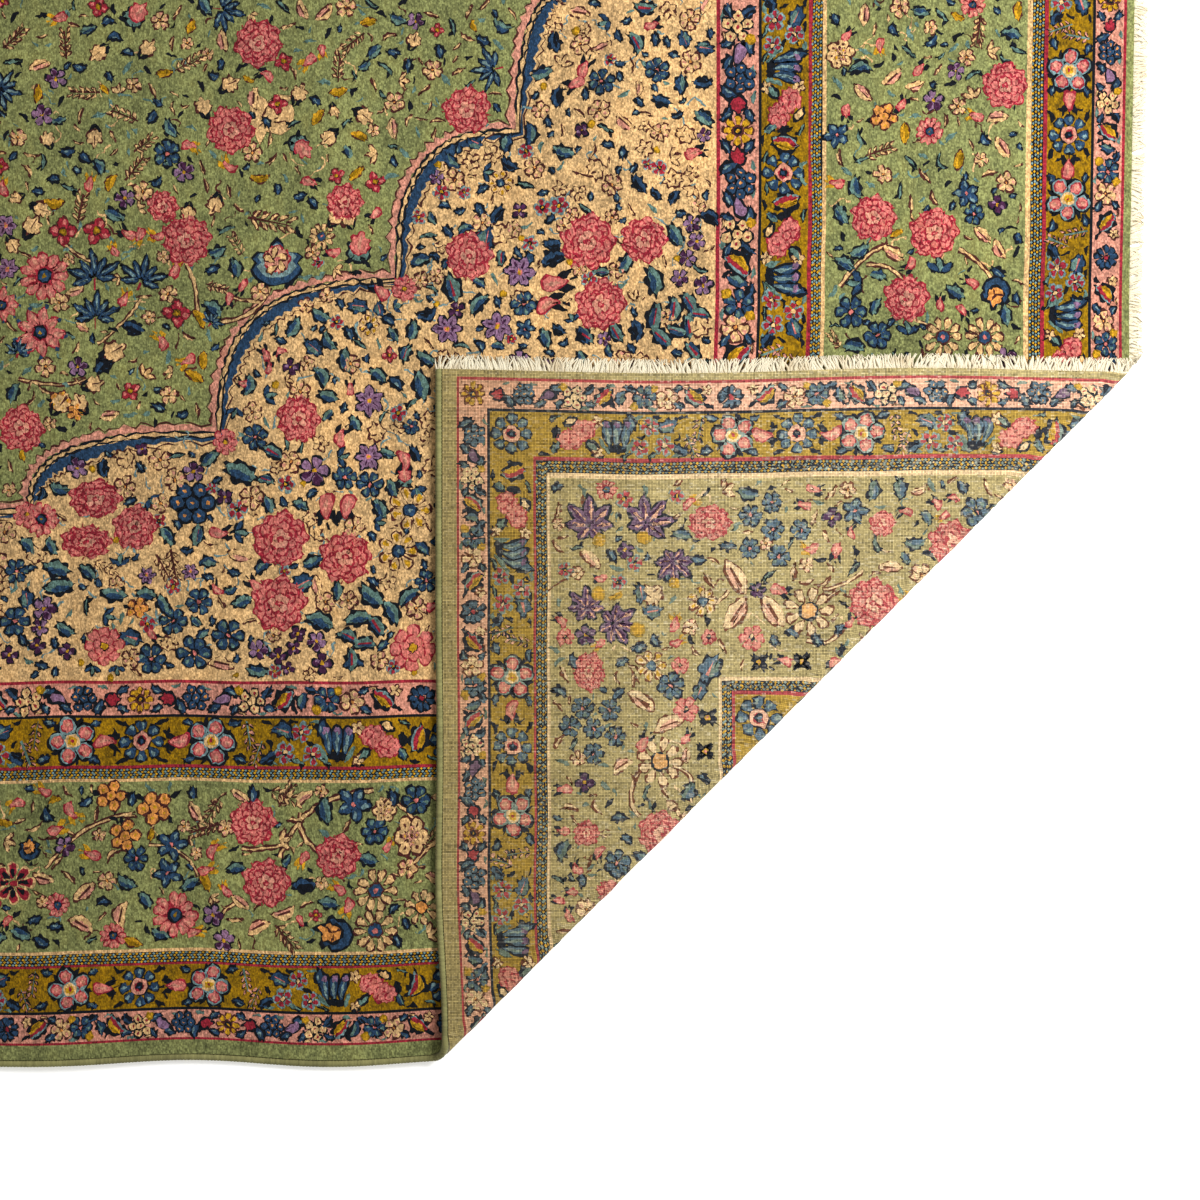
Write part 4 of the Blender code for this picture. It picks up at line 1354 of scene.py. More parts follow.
def band_span(number):
    """Return a band's outer and inner line, as pixels of the picture, on the side and on the end."""
    outer = (SIDE_LINES[number - 1], END_LINES[number - 1]) if number else (0.0, 0.0)
    inner = (SIDE_LINES[number], END_LINES[number])
    return (
        (QUARTER_SIDE - outer[0] / PIXEL, QUARTER_SIDE - inner[0] / PIXEL),
        (QUARTER_END - outer[1] / PIXEL, QUARTER_END - inner[1] / PIXEL),
    )


def draw_guards(design):
    """Fill the narrow guards with staggered diamonds."""
    for number, (yarn, _, _) in enumerate(BANDS):
        if yarn != "guard":
            continue
        (y_out, y_in), (x_out, x_in) = band_span(number)
        for lane, share in enumerate(DIAMOND_LANES):
            for tone, name in enumerate(("gold", "sky")):
                shift = DIAMOND_PITCH / 2 * tone + DIAMOND_PITCH / 4 * (lane % 2)
                x = np.arange(-PICTURE_LEFT + shift, x_out - 2, DIAMOND_PITCH)
                side = np.stack((x, np.full_like(x, y_out + (y_in - y_out) * share)), axis=1)
                y = np.arange(-PICTURE_TOP + shift, y_in, DIAMOND_PITCH)
                end = np.stack((np.full_like(y, x_out + (x_in - x_out) * share), y), axis=1)
                for places, half_size in ((side, DIAMOND_HALF), (end, DIAMOND_HALF[::-1])):
                    places += design.rng.normal(0, 0.25, places.shape)
                    design.diamonds(name, places, half_size)


def draw_repeats(design):
    """Draw the repeating bands along the side and along the end."""
    for number, (repeat, ends, side_run, end_run) in REPEATS.items():
        (y_out, y_in), (x_out, x_in) = band_span(number)
        side_middle, side_half = (y_out + y_in) / 2, (y_out - y_in) / 2
        end_middle, end_half = (x_out + x_in) / 2, (x_out - x_in) / 2
        design.motif(ends[0], end_middle, side_middle, min(side_half, end_half) * ROSETTE_SIZE)
        side_limit = end_middle - end_half * CORNER_ROOM
        end_limit = side_middle - side_half * CORNER_ROOM
        runs = (
            side_run + (-PICTURE_LEFT, side_limit, True, side_middle, side_half),
            end_run + (-PICTURE_TOP, end_limit, False, end_middle, end_half),
        )
        for first, half, mirrored, lowest, highest, on_side, middle, half_width in runs:
            for period in PERIODS:
                start = first + period * half
                flipped = (period + mirrored) % 2 == 1
                rows = ((ends[period % 2], 0.0, 0.0, ROSETTE_SIZE, 0),) + repeat
                for name, share, across, size, turn in rows:
                    rosette = share == 0.0
                    place = start + half * (share if not flipped or rosette else 1 - share)
                    radius = size * half_width * (0.96 if rosette else 1)
                    if not lowest + radius * 0.6 < place < highest - radius * 0.6:
                        continue
                    turned = 180 - turn if flipped else turn
                    if on_side:
                        design.motif(name, place, middle + across * half_width, radius, turned)
                    else:
                        design.motif(name, middle - across * half_width, place, radius, turned + 90)


def draw_charts(design):
    """Draw the charted motifs, then the stems, each first on the flat rug and then on the corner."""
    for chart, on_corner in ((FIELD_CHART, False), (CORNER_CHART, True)):
        for name, rows in chart.items():
            for row in rows:
                design.motif(name, *row, on_corner=on_corner)
    for stems, on_corner in ((STEMS, False), (CORNER_STEMS, True)):
        for row in stems:
            design.stem(*row, on_corner=on_corner)


def zone_of(x, y):
    """Return which filled zone a place lies in, or None, and how far it is from the zone's edge."""
    (side_out, side_in), (end_out, end_in) = band_span(MAIN_BORDER)
    field_x = QUARTER_END - END_LINES[-1] / PIXEL
    field_y = QUARTER_SIDE - SIDE_LINES[-1] / PIXEL
    if x < end_out and y < side_out and (x > end_in or y > side_in):
        room = min(end_out - x, side_out - y, max(x - end_in, y - side_in))
        return "border", room
    if x < field_x and y < field_y:
        share = float(field_share(np.array(x), np.array(y)))
        distance = math.hypot(x + PICTURE_LEFT, y + PICTURE_TOP)
        if share < 1:
            return "field", distance * (1 - share) - FIELD_ROOM
        return "spandrel", min(distance * (1 - 1 / share) - SPANDREL_ROOM, field_x - x, field_y - y)
    return None, 0.0


def draw_fillings(design):
    """Fill what is left of each zone with small motifs that keep clear of the others."""
    rng = design.rng
    width = QUARTER_END + PICTURE_LEFT
    height = QUARTER_SIDE + PICTURE_TOP
    taken = np.array(design.taken + [(0.0, 0.0, 0.0)] * MOST_FILLINGS)
    used = len(design.taken)
    spots = rng.uniform(0, 1, (FILLING_TRIES, 2)) * (width, height) - (PICTURE_LEFT, PICTURE_TOP)
    for attempt, (x, y) in enumerate(spots):
        zone, room = zone_of(x, y)
        if zone is None:
            continue
        kinds = FILLINGS[zone]
        late = attempt / FILLING_TRIES
        large_too = late < LARGE_UNTIL
        weights = np.array([row[1] if row[3] < LARGE_FILLING or large_too else 0 for row in kinds])
        name, _, least, most = kinds[rng.choice(len(kinds), p=weights / weights.sum())]
        radius = most - (most - least) * min(1, late * SHRINKING)
        gap = FILLING_GAP[zone]
        if room < radius * 0.8 or min(x + PICTURE_LEFT, y + PICTURE_TOP) < radius:
            continue
        near = np.hypot(taken[:used, 0] - x, taken[:used, 1] - y)
        if (near < (taken[:used, 2] + radius) * gap).any() or used >= len(taken):
            continue
        design.motif(name, x, y, radius, rng.uniform(-180, 180))
        taken[used] = (x, y, radius * 0.85)
        used += 1


def draw_scrolls(design):
    """Draw short light lines that wander between the motifs."""
    rng = design.rng
    for zone, (count, length) in SCROLLS.items():
        made = 0
        while made < count:
            x = rng.uniform(-PICTURE_LEFT, QUARTER_END)
            y = rng.uniform(-PICTURE_TOP, QUARTER_SIDE)
            found, room = zone_of(x, y)
            if found != zone or room < SCROLL_ROOM:
                continue
            heading = rng.uniform(0, math.tau) + np.cumsum(rng.normal(0, 0.7, SCROLL_STEPS))
            stride = length * rng.uniform(0.6, 1.4) / SCROLL_STEPS
            strides = np.stack((np.cos(heading), np.sin(heading)), axis=1) * stride
            path = (x, y) + np.cumsum(strides, axis=0)
            yarn = "sky" if zone == "spandrel" else ("cream", "brown", "teal")[made % 3]
            design.ribbon(yarn, path, -0.7, 0.7, 0.2)
            made += 1


@lru_cache(maxsize=None)
def charted_quarter(edge):
    """Draw the whole quarter once at one fineness and return its flat arrays by yarn."""
    design = Design(DESIGN_SEED, edge)
    draw_field(design)
    draw_guards(design)
    draw_repeats(design)
    draw_charts(design)
    draw_scrolls(design)
    draw_fillings(design)
    return {yarn: joined(parts) for yarn, parts in design.parts.items()}


# ---- Ground ------------------------------------------------------------------------------------------


def cut_lines(edge, half, lines, near_from, near_to):
    """Return where a flat piece is cut along one axis: at the bands' lines and at the spacings."""
    places = {round(side * (half - line), 6) for line in lines[:-1] for side in (-1, 1)} | {-edge, edge}
    places = sorted(places)
    spacings = (np.arange(near_from, near_to, NEAR_SPACING), np.arange(-half, half, FAR_SPACING))
    for extra in np.concatenate(spacings):
        clear = min(abs(extra - place) for place in places) > CUT_FROM_CUT
        if clear and abs(extra) < edge - CUT_FROM_EDGE:
            places.append(round(float(extra), 6))
    return np.array(sorted(places))


def ground_axes():
    """Return where the whole rug is cut along it and across it."""
    xs = cut_lines(HALF_LENGTH, HALF_LENGTH, END_LINES, NEAR_QUARTER_X, HALF_LENGTH)
    ys = cut_lines(BODY_HALF_WIDTH, HALF_WIDTH, SIDE_LINES, -HALF_WIDTH, NEAR_QUARTER_Y)
    return xs, ys


def band_at(x, y):
    """Return the number of the band that flat places lie in."""
    from_end = np.searchsorted(END_LINES[:-1], HALF_LENGTH - abs(x), side="right")
    from_side = np.searchsorted(SIDE_LINES[:-1], HALF_WIDTH - abs(y), side="right")
    return np.minimum(from_end, from_side)


@lru_cache(maxsize=None)
def ground():
    """Return the whole rug's flat cells as one grid, with the band of each triangle."""
    xs, ys = ground_axes()
    grid, corners = grid_arrays(len(xs) - 1, len(ys) - 1)
    column = np.rint(grid[:, 0] * (len(xs) - 1)).astype(int)
    row = np.rint(grid[:, 1] * (len(ys) - 1)).astype(int)
    places = np.zeros((len(grid), 3))
    places[:, 0] = xs[column]
    places[:, 1] = ys[row]
    centres = places[corners].mean(axis=1)
    return places, corners, band_at(centres[:, 0], centres[:, 1])


def ground_of(yarn, height):
    """Return the bands of one yarn over the whole rug, at a height in the thickness."""
    places, corners, bands = ground()
    places, corners = kept(places, corners, np.array(BAND_YARNS)[bands] == yarn)
    places[:, 2] = height
    return places, corners


# ---- Shader maths -------------------------------------------------------------------------------------


class Wire:
    """One socket of a material's node tree; sums, differences and products of it add Math nodes."""

    def __init__(self, tree, socket=None):
        self.tree = tree
        self.socket = socket

    def node(self, kind, settings=None, values=None, output=0):
        """Add a node: its settings first, then the values or wires of its sockets."""
        made = self.tree.nodes.new(kind)
        for name, value in (settings or {}).items():
            if name == "stops":
                for stop, (place, colour) in enumerate(value):
                    elements = made.color_ramp.elements
                    element = elements[stop] if stop < len(elements) else elements.new(place)
                    element.position = place
                    element.color = colour
            else:
                setattr(made, name, value)
        for name, value in (values or {}).items():
            if isinstance(value, Wire):
                self.tree.links.new(value.socket, made.inputs[name])
            else:
                made.inputs[name].default_value = value
        return Wire(self.tree, made.outputs[output])

    def math(self, operation, *values):
        return self.node("ShaderNodeMath", {"operation": operation}, dict(enumerate(values)))

    def __add__(self, other):
        return self.math("ADD", self, other)

    __radd__ = __add__

    def __sub__(self, other):
        return self.math("SUBTRACT", self, other)

    def __rsub__(self, other):
        return self.math("SUBTRACT", other, self)

    def __mul__(self, other):
        return self.math("MULTIPLY", self, other)

    __rmul__ = __mul__

    def clamped(self, low, high):
        """Return 0 where this value is low or less, 1 where it is high or more, and between them."""
        return self.node(
            "ShaderNodeMapRange", {"clamp": True}, {"Value": self, "From Min": low, "From Max": high}
        )


# The Mix node's sockets for its factor, its two colours and the colour that comes out
MIX_FACTOR, MIX_FIRST, MIX_SECOND, MIX_RESULT = 0, 6, 7, 2


def mixed(wire, factor, first, second):
    """Return a colour between two, which may be wires or plain colours."""
    values = {MIX_FACTOR: factor, MIX_FIRST: solid(first), MIX_SECOND: solid(second)}
    return wire.node("ShaderNodeMix", {"data_type": "RGBA"}, values, MIX_RESULT)


def solid(colour):
    """Return a wire as it is, and a plain colour with its fourth channel."""
    return colour if isinstance(colour, Wire) else (*tuple(colour)[:3], 1.0)


def shaded(wire, colour, brightness):
    """Return a colour made lighter or darker by a value around 1."""
    return wire.node("ShaderNodeVectorMath", {"operation": "SCALE"}, {0: colour, "Scale": brightness})


def new_material(name):
    """Return a material, its starting wire and its one shader."""
    material = bpy.data.materials.new(name)
    material.use_nodes = True
    shader = material.node_tree.nodes["Principled BSDF"]
    return material, Wire(material.node_tree), shader


def flat_place(wire, stretch=(1, 1, 1)):
    """Return the flat rug's coordinates in metres, stretched along each axis."""
    settings = {"attribute_name": "flat_place", "attribute_type": "GEOMETRY"}
    place = wire.node("ShaderNodeAttribute", settings, output="Vector")
    return wire.node("ShaderNodeMapping", {}, {"Vector": place, "Scale": stretch})


def noise(wire, stretch, detail=2.0, roughness=0.6):
    """Return noise in 0..1 that has about the given number of patches a metre along each axis."""
    return wire.node(
        "ShaderNodeTexNoise",
        {},
        {"Vector": flat_place(wire, stretch), "Scale": 1.0, "Detail": detail, "Roughness": roughness},
    )


def finish_wool(wire, shader, colour, roughness, height, sheen, depth):
    """Join colour, roughness and relief to the shader, and give it the dull shine of wool."""
    links = wire.tree.links
    links.new(colour.socket, shader.inputs["Base Color"])
    links.new(roughness.socket, shader.inputs["Roughness"])
    bump = wire.node("ShaderNodeBump", {}, {"Height": height, "Strength": 0.7, "Distance": depth})
    links.new(bump.socket, shader.inputs["Normal"])
    shader.inputs["Sheen Weight"].default_value = sheen
    shader.inputs["Sheen Roughness"].default_value = 0.5
    shader.inputs["Specular IOR Level"].default_value = 0.15


# from where to where across the rug its back grows darker and warmer towards the near side, in metres
DARKER_NEAR_SIDE = (-1.05, -1.34)
# yarns whose dye is the most uneven, and how much it varies; then the other yarns
UNEVEN = {"mustard": 1.0, "green": 0.6, "cream": 0.5, "pink": 0.5}
EVEN_DYE = 0.35
FLOOR_GLOW = 0.45
WOOL_BEGINS = (-0.0018, -0.0006)  # heights between which the cut side turns from cotton to wool
WEFT_CELL = 7.5  # sets the weft's random values apart from the knots'


def white_noise(wire, *parts):
    """Return an even random value for each cell that the whole parts of the values name."""
    whole = {axis: wire.math("FLOOR", part) for axis, part in enumerate(parts)}
    cell = wire.node("ShaderNodeCombineXYZ", {}, whole)
    return wire.node("ShaderNodeTexWhiteNoise", {"noise_dimensions": "3D"}, {"Vector": cell})


def knot_place(wire):
    """Return the number of knots along the rug and across it."""
    along = wire.node("ShaderNodeSeparateXYZ", {}, {0: flat_place(wire, (1 / KNOT, 1 / KNOT, 1))})
    return along, Wire(wire.tree, along.socket.node.outputs["Y"])


def pile_wool(yarn, colour):
    """Cut pile that leans towards the near side: tuft texture, fibres and dye that differs from lot to
    lot, with painted shade, highlights and sheen.
    """
    material, wire, shader = new_material(f"wool_{yarn}_pile")
    uneven = UNEVEN.get(yarn, EVEN_DYE)
    knots = white_noise(wire, *knot_place(wire))
    # tone of each tuft, and painted shade in the hollows between tuft and tuft
    tuft_tone_and_shade = noise(wire, (250, 190, 300), 1.5)
    fibres = noise(wire, (640, 200, 300), 2.0)
    blotches = noise(wire, (70, 48, 60), 2.0)
    # long soft streaks along y: partly dye that differs from lot to lot, partly painted sheen
    lots_and_sheen = noise(wire, (26, 3.0, 1), 2.0)
    wear = noise(wire, (7, 7, 7), 3.0)
    tone = tuft_tone_and_shade * 0.90 + fibres * 0.90 + knots * 0.40 + blotches * uneven + lots_and_sheen * 0.30
    tone = tone + wear * (0.26 + 0.7 * uneven)
    tone = tone - (0.53 + 0.85 * uneven)
    warm = tuple(min(1, c * f) for c, f in zip(colour, (1.08, 0.95, 0.78)))
    # a paler copy of each yarn, mixed in where the tuft and streak noise is high: partly lighter flecks,
    # partly painted highlights on the tuft tops
    pale = tuple(min(1, c * 1.5) for c in colour)
    blend = mixed(wire, (wear * 0.7 + blotches * 0.6).clamped(0.60, 0.85) * 0.7, tuple(colour), warm)
    # painted highlights: the paler copy is mixed in over the tuft tops and the sheen streaks
    blend = mixed(wire, (knots * 0.4 + tuft_tone_and_shade + lots_and_sheen * 0.3).clamped(0.82, 1.05) * 0.55, blend, pale)
    height = tuft_tone_and_shade * 0.8 + fibres * 0.7 + blotches * 0.5
    finish_wool(wire, shader, shaded(wire, blend, tone), 0.78 + fibres * 0.18, height, 0.05, 0.0024)
    return material


def knotted_back(yarn, colour, cotton):
    """The backs of the knots: a fine grid of nodes, with lines of cotton weft showing."""
    material, wire, shader = new_material(f"wool_{yarn}_back")
    rows, columns = knot_place(wire)
    row_wave = wire.math("SINE", rows * math.tau) * 0.5 + 0.5
    column_wave = wire.math("SINE", columns * math.tau) * 0.5 + 0.5
    # painted shade: rows and columns lighter and darker in turn every two knots, so that the back looks
    # ribbed
    weft_rib_shade = wire.math("SINE", rows * math.pi) * 0.5 + 0.5
    warp_rib_shade = wire.math("SINE", columns * math.pi) * 0.5 + 0.5
    # the back grows darker and warmer towards the near side, over the span given above
    near_side_darkening = (columns * KNOT).clamped(*DARKER_NEAR_SIDE)
    knots = white_noise(wire, rows, columns)
    row_shade = white_noise(wire, rows, columns * 0.04)
    column_shade = white_noise(wire, rows * 0.08, columns)
    weft = white_noise(wire, rows, columns * 0.45, WEFT_CELL).clamped(0.76, 1.0)
    lines = noise(wire, (240, 12, 300), 2.0)
    wear = noise(wire, (9, 9, 9), 3.0)
    relief = 1 - (1 - row_wave) * 0.6 - (1 - column_wave) * 0.35
    tone = knots * 0.62 + row_shade * 0.34 + column_shade * 0.22 + weft_rib_shade * 0.20 + warp_rib_shade * 0.20
    tone = (tone + lines * 0.44 + wear * 0.25 - 0.09) * (1 - near_side_darkening * 0.24)
    back_colour = mixed(wire, weft * 0.26, tuple(colour), tuple(cotton))
    back_colour = mixed(wire, near_side_darkening * 0.6, back_colour, tuple(c * f for c, f in zip(colour, (1.0, 0.94, 0.74))))
    finish_wool(wire, shader, shaded(wire, back_colour, tone), 0.86 + knots * 0.1, relief, 0.05, 0.0009)
    return material


def foundation_edge(colour, cotton):
    """The cut side of the rug: cotton below, wool pile above."""
    material, wire, shader = new_material("woven_edge")
    height = wire.node("ShaderNodeSeparateXYZ", {}, {0: flat_place(wire)}, output="Z")
    strands = noise(wire, (700, 700, 260), 2.0)
    wool = height.clamped(*WOOL_BEGINS)
    blend = mixed(wire, wool, tuple(cotton), tuple(colour))
    blend = shaded(wire, blend, 0.6 + strands * 0.6)
    finish_wool(wire, shader, blend, 0.85 + strands * 0.1, strands, 0.1, 0.001)
    return material


def wrapped_wool(colour):
    """Overcast wool on a side cord: each wrap's own shade, with fibres along it."""
    material, wire, shader = new_material("overcast_green_wool")
    wraps = noise(wire, (300, 4, 4), 1.0)
    fibres = noise(wire, (1500, 160, 160), 2.0)
    wear = noise(wire, (12, 12, 12), 2.0)
    tone = 0.22 + wraps * 0.78 + fibres * 0.40 + wear * 0.26
    base = mixed(wire, wear.clamped(0.4, 0.7), tuple(colour), tuple(min(1, c * 1.25) for c in colour))
    finish_wool(wire, shader, shaded(wire, base, tone), 0.80 + fibres * 0.15, wraps + fibres, 0.15, 0.0008)
    return material


def cotton_strands(cotton):
    """Undyed cotton: fine twisted threads, a little dirty in places."""
    material, wire, shader = new_material("undyed_cotton")
    threads = noise(wire, (300, 1400, 300), 2.0)
    twist = noise(wire, (900, 900, 300), 1.0)
    dirt = noise(wire, (30, 30, 30), 2.0)
    soiled = tuple(c * f for c, f in zip(cotton, (0.66, 0.52, 0.34)))
    base = mixed(wire, dirt.clamped(0.50, 0.80) * 0.7, tuple(cotton), soiled)
    tone = 0.66 + threads * 0.36 + twist * 0.22
    finish_wool(wire, shader, shaded(wire, base, tone), 0.86 + threads * 0.1, threads + twist, 0.1, 0.0006)
    return material


def studio_floor(colour):
    """Pale floor with a faint cloudiness, and a glow of its own so that it stays near white."""
    material, wire, shader = new_material("studio_floor")
    place = wire.node("ShaderNodeTexCoord", output="Object")
    cloud = wire.node("ShaderNodeTexNoise", {}, {"Vector": place, "Scale": 1.5, "Detail": 2.0})
    clouded = shaded(wire, tuple(colour), 0.985 + cloud * 0.03)
    wire.tree.links.new(clouded.socket, shader.inputs["Base Color"])
    wire.tree.links.new((0.75 + cloud * 0.1).socket, shader.inputs["Roughness"])
    shader.inputs["Emission Color"].default_value = (1.0, 1.0, 1.0, 1.0)
    shader.inputs["Emission Strength"].default_value = FLOOR_GLOW
    return material


# ---- Pieces --------------------------------------------------------------------------------------------

BACK_BAND_DEPTH = 0.00015  # how deep the back's bands lie in the underside
BACK_MOTIF_DEPTH = 0.0001  # and from how deep its motifs rise out of it
BACK_FROM = 0.009  # run past the fold's start from which the back shows its motifs
SHEET_INSET = 0.0003  # how much thinner the sheet is than the rug, so that the knots' backs cover it
CORD_SEED = 5
CORD_SIDES = 8
WRAP_GROOVE = 0.13  # how much thinner a cord is between two wraps, as a share
WRAP_UNEVEN = 0.05
WRAP_LEAN = 0.0004
CORD_OVERLAP = 1.42  # how much wider a wrap is on the inside, where it takes in the sheet's edge
FRINGE_SEED = 21
STRAND_RINGS = (1.20, 1.0, 0.80, 0.36)  # a strand's thickness from its root to its tip
STRAND_SIDES = 4
STRAND_LENGTH = 0.0225
STRAND_ROOT = 0.0035  # how far inside the sheet's end a strand begins
FRINGE_MARGIN = 0.003  # from the rug's side to the first strand


def closed_tube(bm, sides):
    """Join the edges of a grid that was rolled up, cap its ends and return its arrays."""
    bmesh.ops.remove_doubles(bm, verts=bm.verts[:], dist=1e-6)
    bmesh.ops.holes_fill(bm, edges=[e for e in bm.edges if e.is_boundary], sides=sides)
    bmesh.ops.recalc_face_normals(bm, faces=bm.faces[:])
    places, corners = arrays_of(bm)
    bm.free()
    return places, corners


def wandered(parts):
    """Join flat arrays and shift them with the rug's waves and drift."""
    places, corners = joined(parts)
    return (wander(places) if len(places) else places), corners


def front_arrays(yarn):
    """Return one yarn's patches on the pile face: its bands, and the quarter mirrored into four."""
    ground_places, ground_corners = ground_of(yarn, HALF_THICKNESS + GROUND_RISE / 1000)
    parts = []
    for mirror in ((1, 1, 1), (-1, 1, 1), (1, -1, 1), (-1, -1, 1)):
        near = mirror == (1, 1, 1)
        quarter, corners = charted_quarter(NEAR_EDGE if near else FAR_EDGE)[yarn]
        quarter = quarter * mirror
        quarter[:, 2] = HALF_THICKNESS + (MOTIF_RISE + RISE_STEP * quarter[:, 2]) / 1000
        if near:
            unturned = (run_past_fold(wander(quarter))[corners] < 0).all(axis=1)
            quarter, corners = kept(quarter, corners, unturned)
        parts.append((quarter, corners))
    motif_places, motif_corners = facing(*wandered(parts), upwards=True)
    bands = facing(*cut_for_fold(wander(ground_places), ground_corners), upwards=True)
    return joined([bands, (motif_places, motif_corners)])


def back_arrays(yarn):
    """Return one yarn's patches on the woven back: its bands, and the turned corner's motifs."""
    ground_places, ground_corners = ground_of(yarn, -HALF_THICKNESS + BACK_BAND_DEPTH)
    quarter, corners = charted_quarter(NEAR_EDGE)[yarn]
    quarter = quarter.copy()
    if len(corners):
        turned = (run_past_fold(quarter)[corners] > BACK_FROM).all(axis=1)
        quarter, corners = kept(quarter, corners, turned)
    rise = quarter[:, 2].copy()
    quarter[:, :2] = np.rint(quarter[:, :2] / KNOT) * KNOT
    rise = (MOTIF_RISE * 0.5 + RISE_STEP * rise) / 1000
    quarter[:, 2] = -HALF_THICKNESS + BACK_MOTIF_DEPTH - rise
    bands = facing(*cut_for_fold(wander(ground_places), ground_corners), upwards=False)
    parts = [bands]
    if len(corners):
        parts.append(facing(*cut_for_fold(wander(quarter), corners), upwards=False))
    return joined(parts)


def sheet_arrays():
    """Return the woven sheet itself, a closed slab that is cut finely enough to roll."""
    xs, ys = ground_axes()
    bm = bmesh.new()
    bmesh.ops.create_grid(bm, x_segments=len(xs) - 1, y_segments=len(ys) - 1, size=0.5)
    for vert in bm.verts:
        column = round((vert.co.x + 0.5) * (len(xs) - 1))
        row = round((vert.co.y + 0.5) * (len(ys) - 1))
        vert.co = (xs[column], ys[row], HALF_THICKNESS)
    raised = bmesh.ops.extrude_face_region(bm, geom=bm.faces[:], use_keep_orig=True)
    under = [item for item in raised["geom"] if isinstance(item, bmesh.types.BMVert)]
    bmesh.ops.translate(bm, verts=under, vec=(0, 0, SHEET_INSET - THICKNESS))
    bmesh.ops.recalc_face_normals(bm, faces=bm.faces[:])
    places, corners = arrays_of(bm)
    bm.free()
    places, corners = welded(*cut_for_fold(wander(places), corners))
    # Extruding leaves the triangles in another order on each run: sorted, the mesh repeats exactly
    first = corners.argmin(axis=1)
    turned = (first[:, None] + np.arange(3)) % 3
    corners = np.take_along_axis(corners, turned, axis=1)
    return places, corners[np.lexsort(corners.T)]


def cord_arrays(side, pitch):
    """Return one side cord, with a swelling for each wrap of wool; side is -1 for the near one."""
    rings = 2 * round(WOVEN_LENGTH / pitch)
    bm = bmesh.new()
    bmesh.ops.create_grid(bm, x_segments=rings, y_segments=CORD_SIDES, size=0.5)
    rng = np.random.default_rng(CORD_SEED + side)
    swell = 1 - WRAP_GROOVE * (np.arange(rings + 1) % 2) - rng.uniform(0, WRAP_UNEVEN, rings + 1)
    for vert in bm.verts:
        ring = round((vert.co.x + 0.5) * rings)
        angle = math.tau * (vert.co.y + 0.5)
        radius = (HALF_THICKNESS - 0.0001) * swell[ring]
        x = -HALF_LENGTH + WOVEN_LENGTH * ring / rings + WRAP_LEAN * math.cos(angle)
        x = min(max(x, -HALF_LENGTH), HALF_LENGTH)
        inside = side * math.cos(angle) < 0  # here the wraps take in the sheet's edge
        reach = radius * (CORD_OVERLAP if inside else 1.0)
        y = side * (HALF_WIDTH - HALF_THICKNESS) + reach * math.cos(angle)
        up = abs(math.sin(angle)) ** (0.55 if inside else 0.85)
        vert.co = (x, y, math.copysign(radius * up, math.sin(angle)))
    places, corners = closed_tube(bm, CORD_SIDES)
    return wander(places), corners


def strand_arrays(end, pitch, width):
    """Return one end's fringe: a row of short twisted strands; end is 1 beside the turned corner."""
    rings = len(STRAND_RINGS) - 1
    bm = bmesh.new()
    bmesh.ops.create_grid(bm, x_segments=rings, y_segments=STRAND_SIDES, size=0.5)
    for vert in bm.verts:
        along = vert.co.x + 0.5
        angle = math.tau * (vert.co.y + 0.5)
        slim = STRAND_RINGS[round(along * rings)]
        vert.co = (along, slim * math.cos(angle), slim * math.sin(angle))
    shape, corners = closed_tube(bm, STRAND_SIDES)
    rng = np.random.default_rng(FRINGE_SEED + end)
    count = int(2 * (HALF_WIDTH - FRINGE_MARGIN) / pitch)
    middle = np.linspace(-HALF_WIDTH + FRINGE_MARGIN, HALF_WIDTH - FRINGE_MARGIN, count)
    middle = middle + rng.normal(0, pitch * 0.15, count)
    root = HALF_LENGTH - STRAND_ROOT
    length = STRAND_LENGTH * (1 - 0.28 * rng.beta(1.1, 3.0, count))
    lean = rng.normal(0, 0.0058, count) + 0.0048 * np.sin(middle * 31) + 0.0042 * np.sin(middle * 83 + 1)
    curl = rng.normal(0, 0.0030, count)
    lie = rng.uniform(0, 0.0030, count)
    half = width / 2 * rng.uniform(0.75, 1.15, count)
    t = shape[None, :, 0]
    places = np.empty((count, len(shape), 3))
    places[:, :, 0] = root + length[:, None] * t
    places[:, :, 1] = middle[:, None] + lean[:, None] * t**1.5 + curl[:, None] * np.sin(t * math.pi)
    places[:, :, 1] += half[:, None] * shape[None, :, 1]
    base = -HALF_THICKNESS + half + 0.0001
    rise = lie[:, None] * np.sin(t * math.pi * 0.9) + 0.0018 * (1 - t) ** 2
    places[:, :, 2] = base[:, None] + rise + half[:, None] * shape[None, :, 2]
    places = places.reshape(-1, 3)
    places[:, 1] = np.clip(places[:, 1], -HALF_WIDTH, HALF_WIDTH)
    places[:, 0] = np.minimum(places[:, 0], HALF_LENGTH + FRINGE_LENGTH)
    corners = repeated(corners, len(shape), count)
    if end < 0:
        places[:, 0] *= -1
        corners = corners[:, ::-1]
    return cut_for_fold(wander(places), corners)


def keep_piece(made):
    """Let a piece ride on the part's one body."""
    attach(made, "root")


class RUG_OT_pile(bpy.types.Operator):
    """Lay the pile's bands and motifs, one piece for each colour of wool"""

    bl_idname = "rug.pile"
    bl_label = "Pile"

    def execute(self, context):
        yarns = context.scene.rug_pile_yarns
        for yarn in YARNS:
            places, corners = front_arrays(yarn)
            if not len(corners):
                raise RuntimeError(f"the {yarn} yarn has no pile")
            material = pile_wool(yarn, getattr(yarns, yarn))
            keep_piece(rug_object(f"pile_{yarn}", places, corners, material, WHOLE_WINDOW))
        return {"FINISHED"}


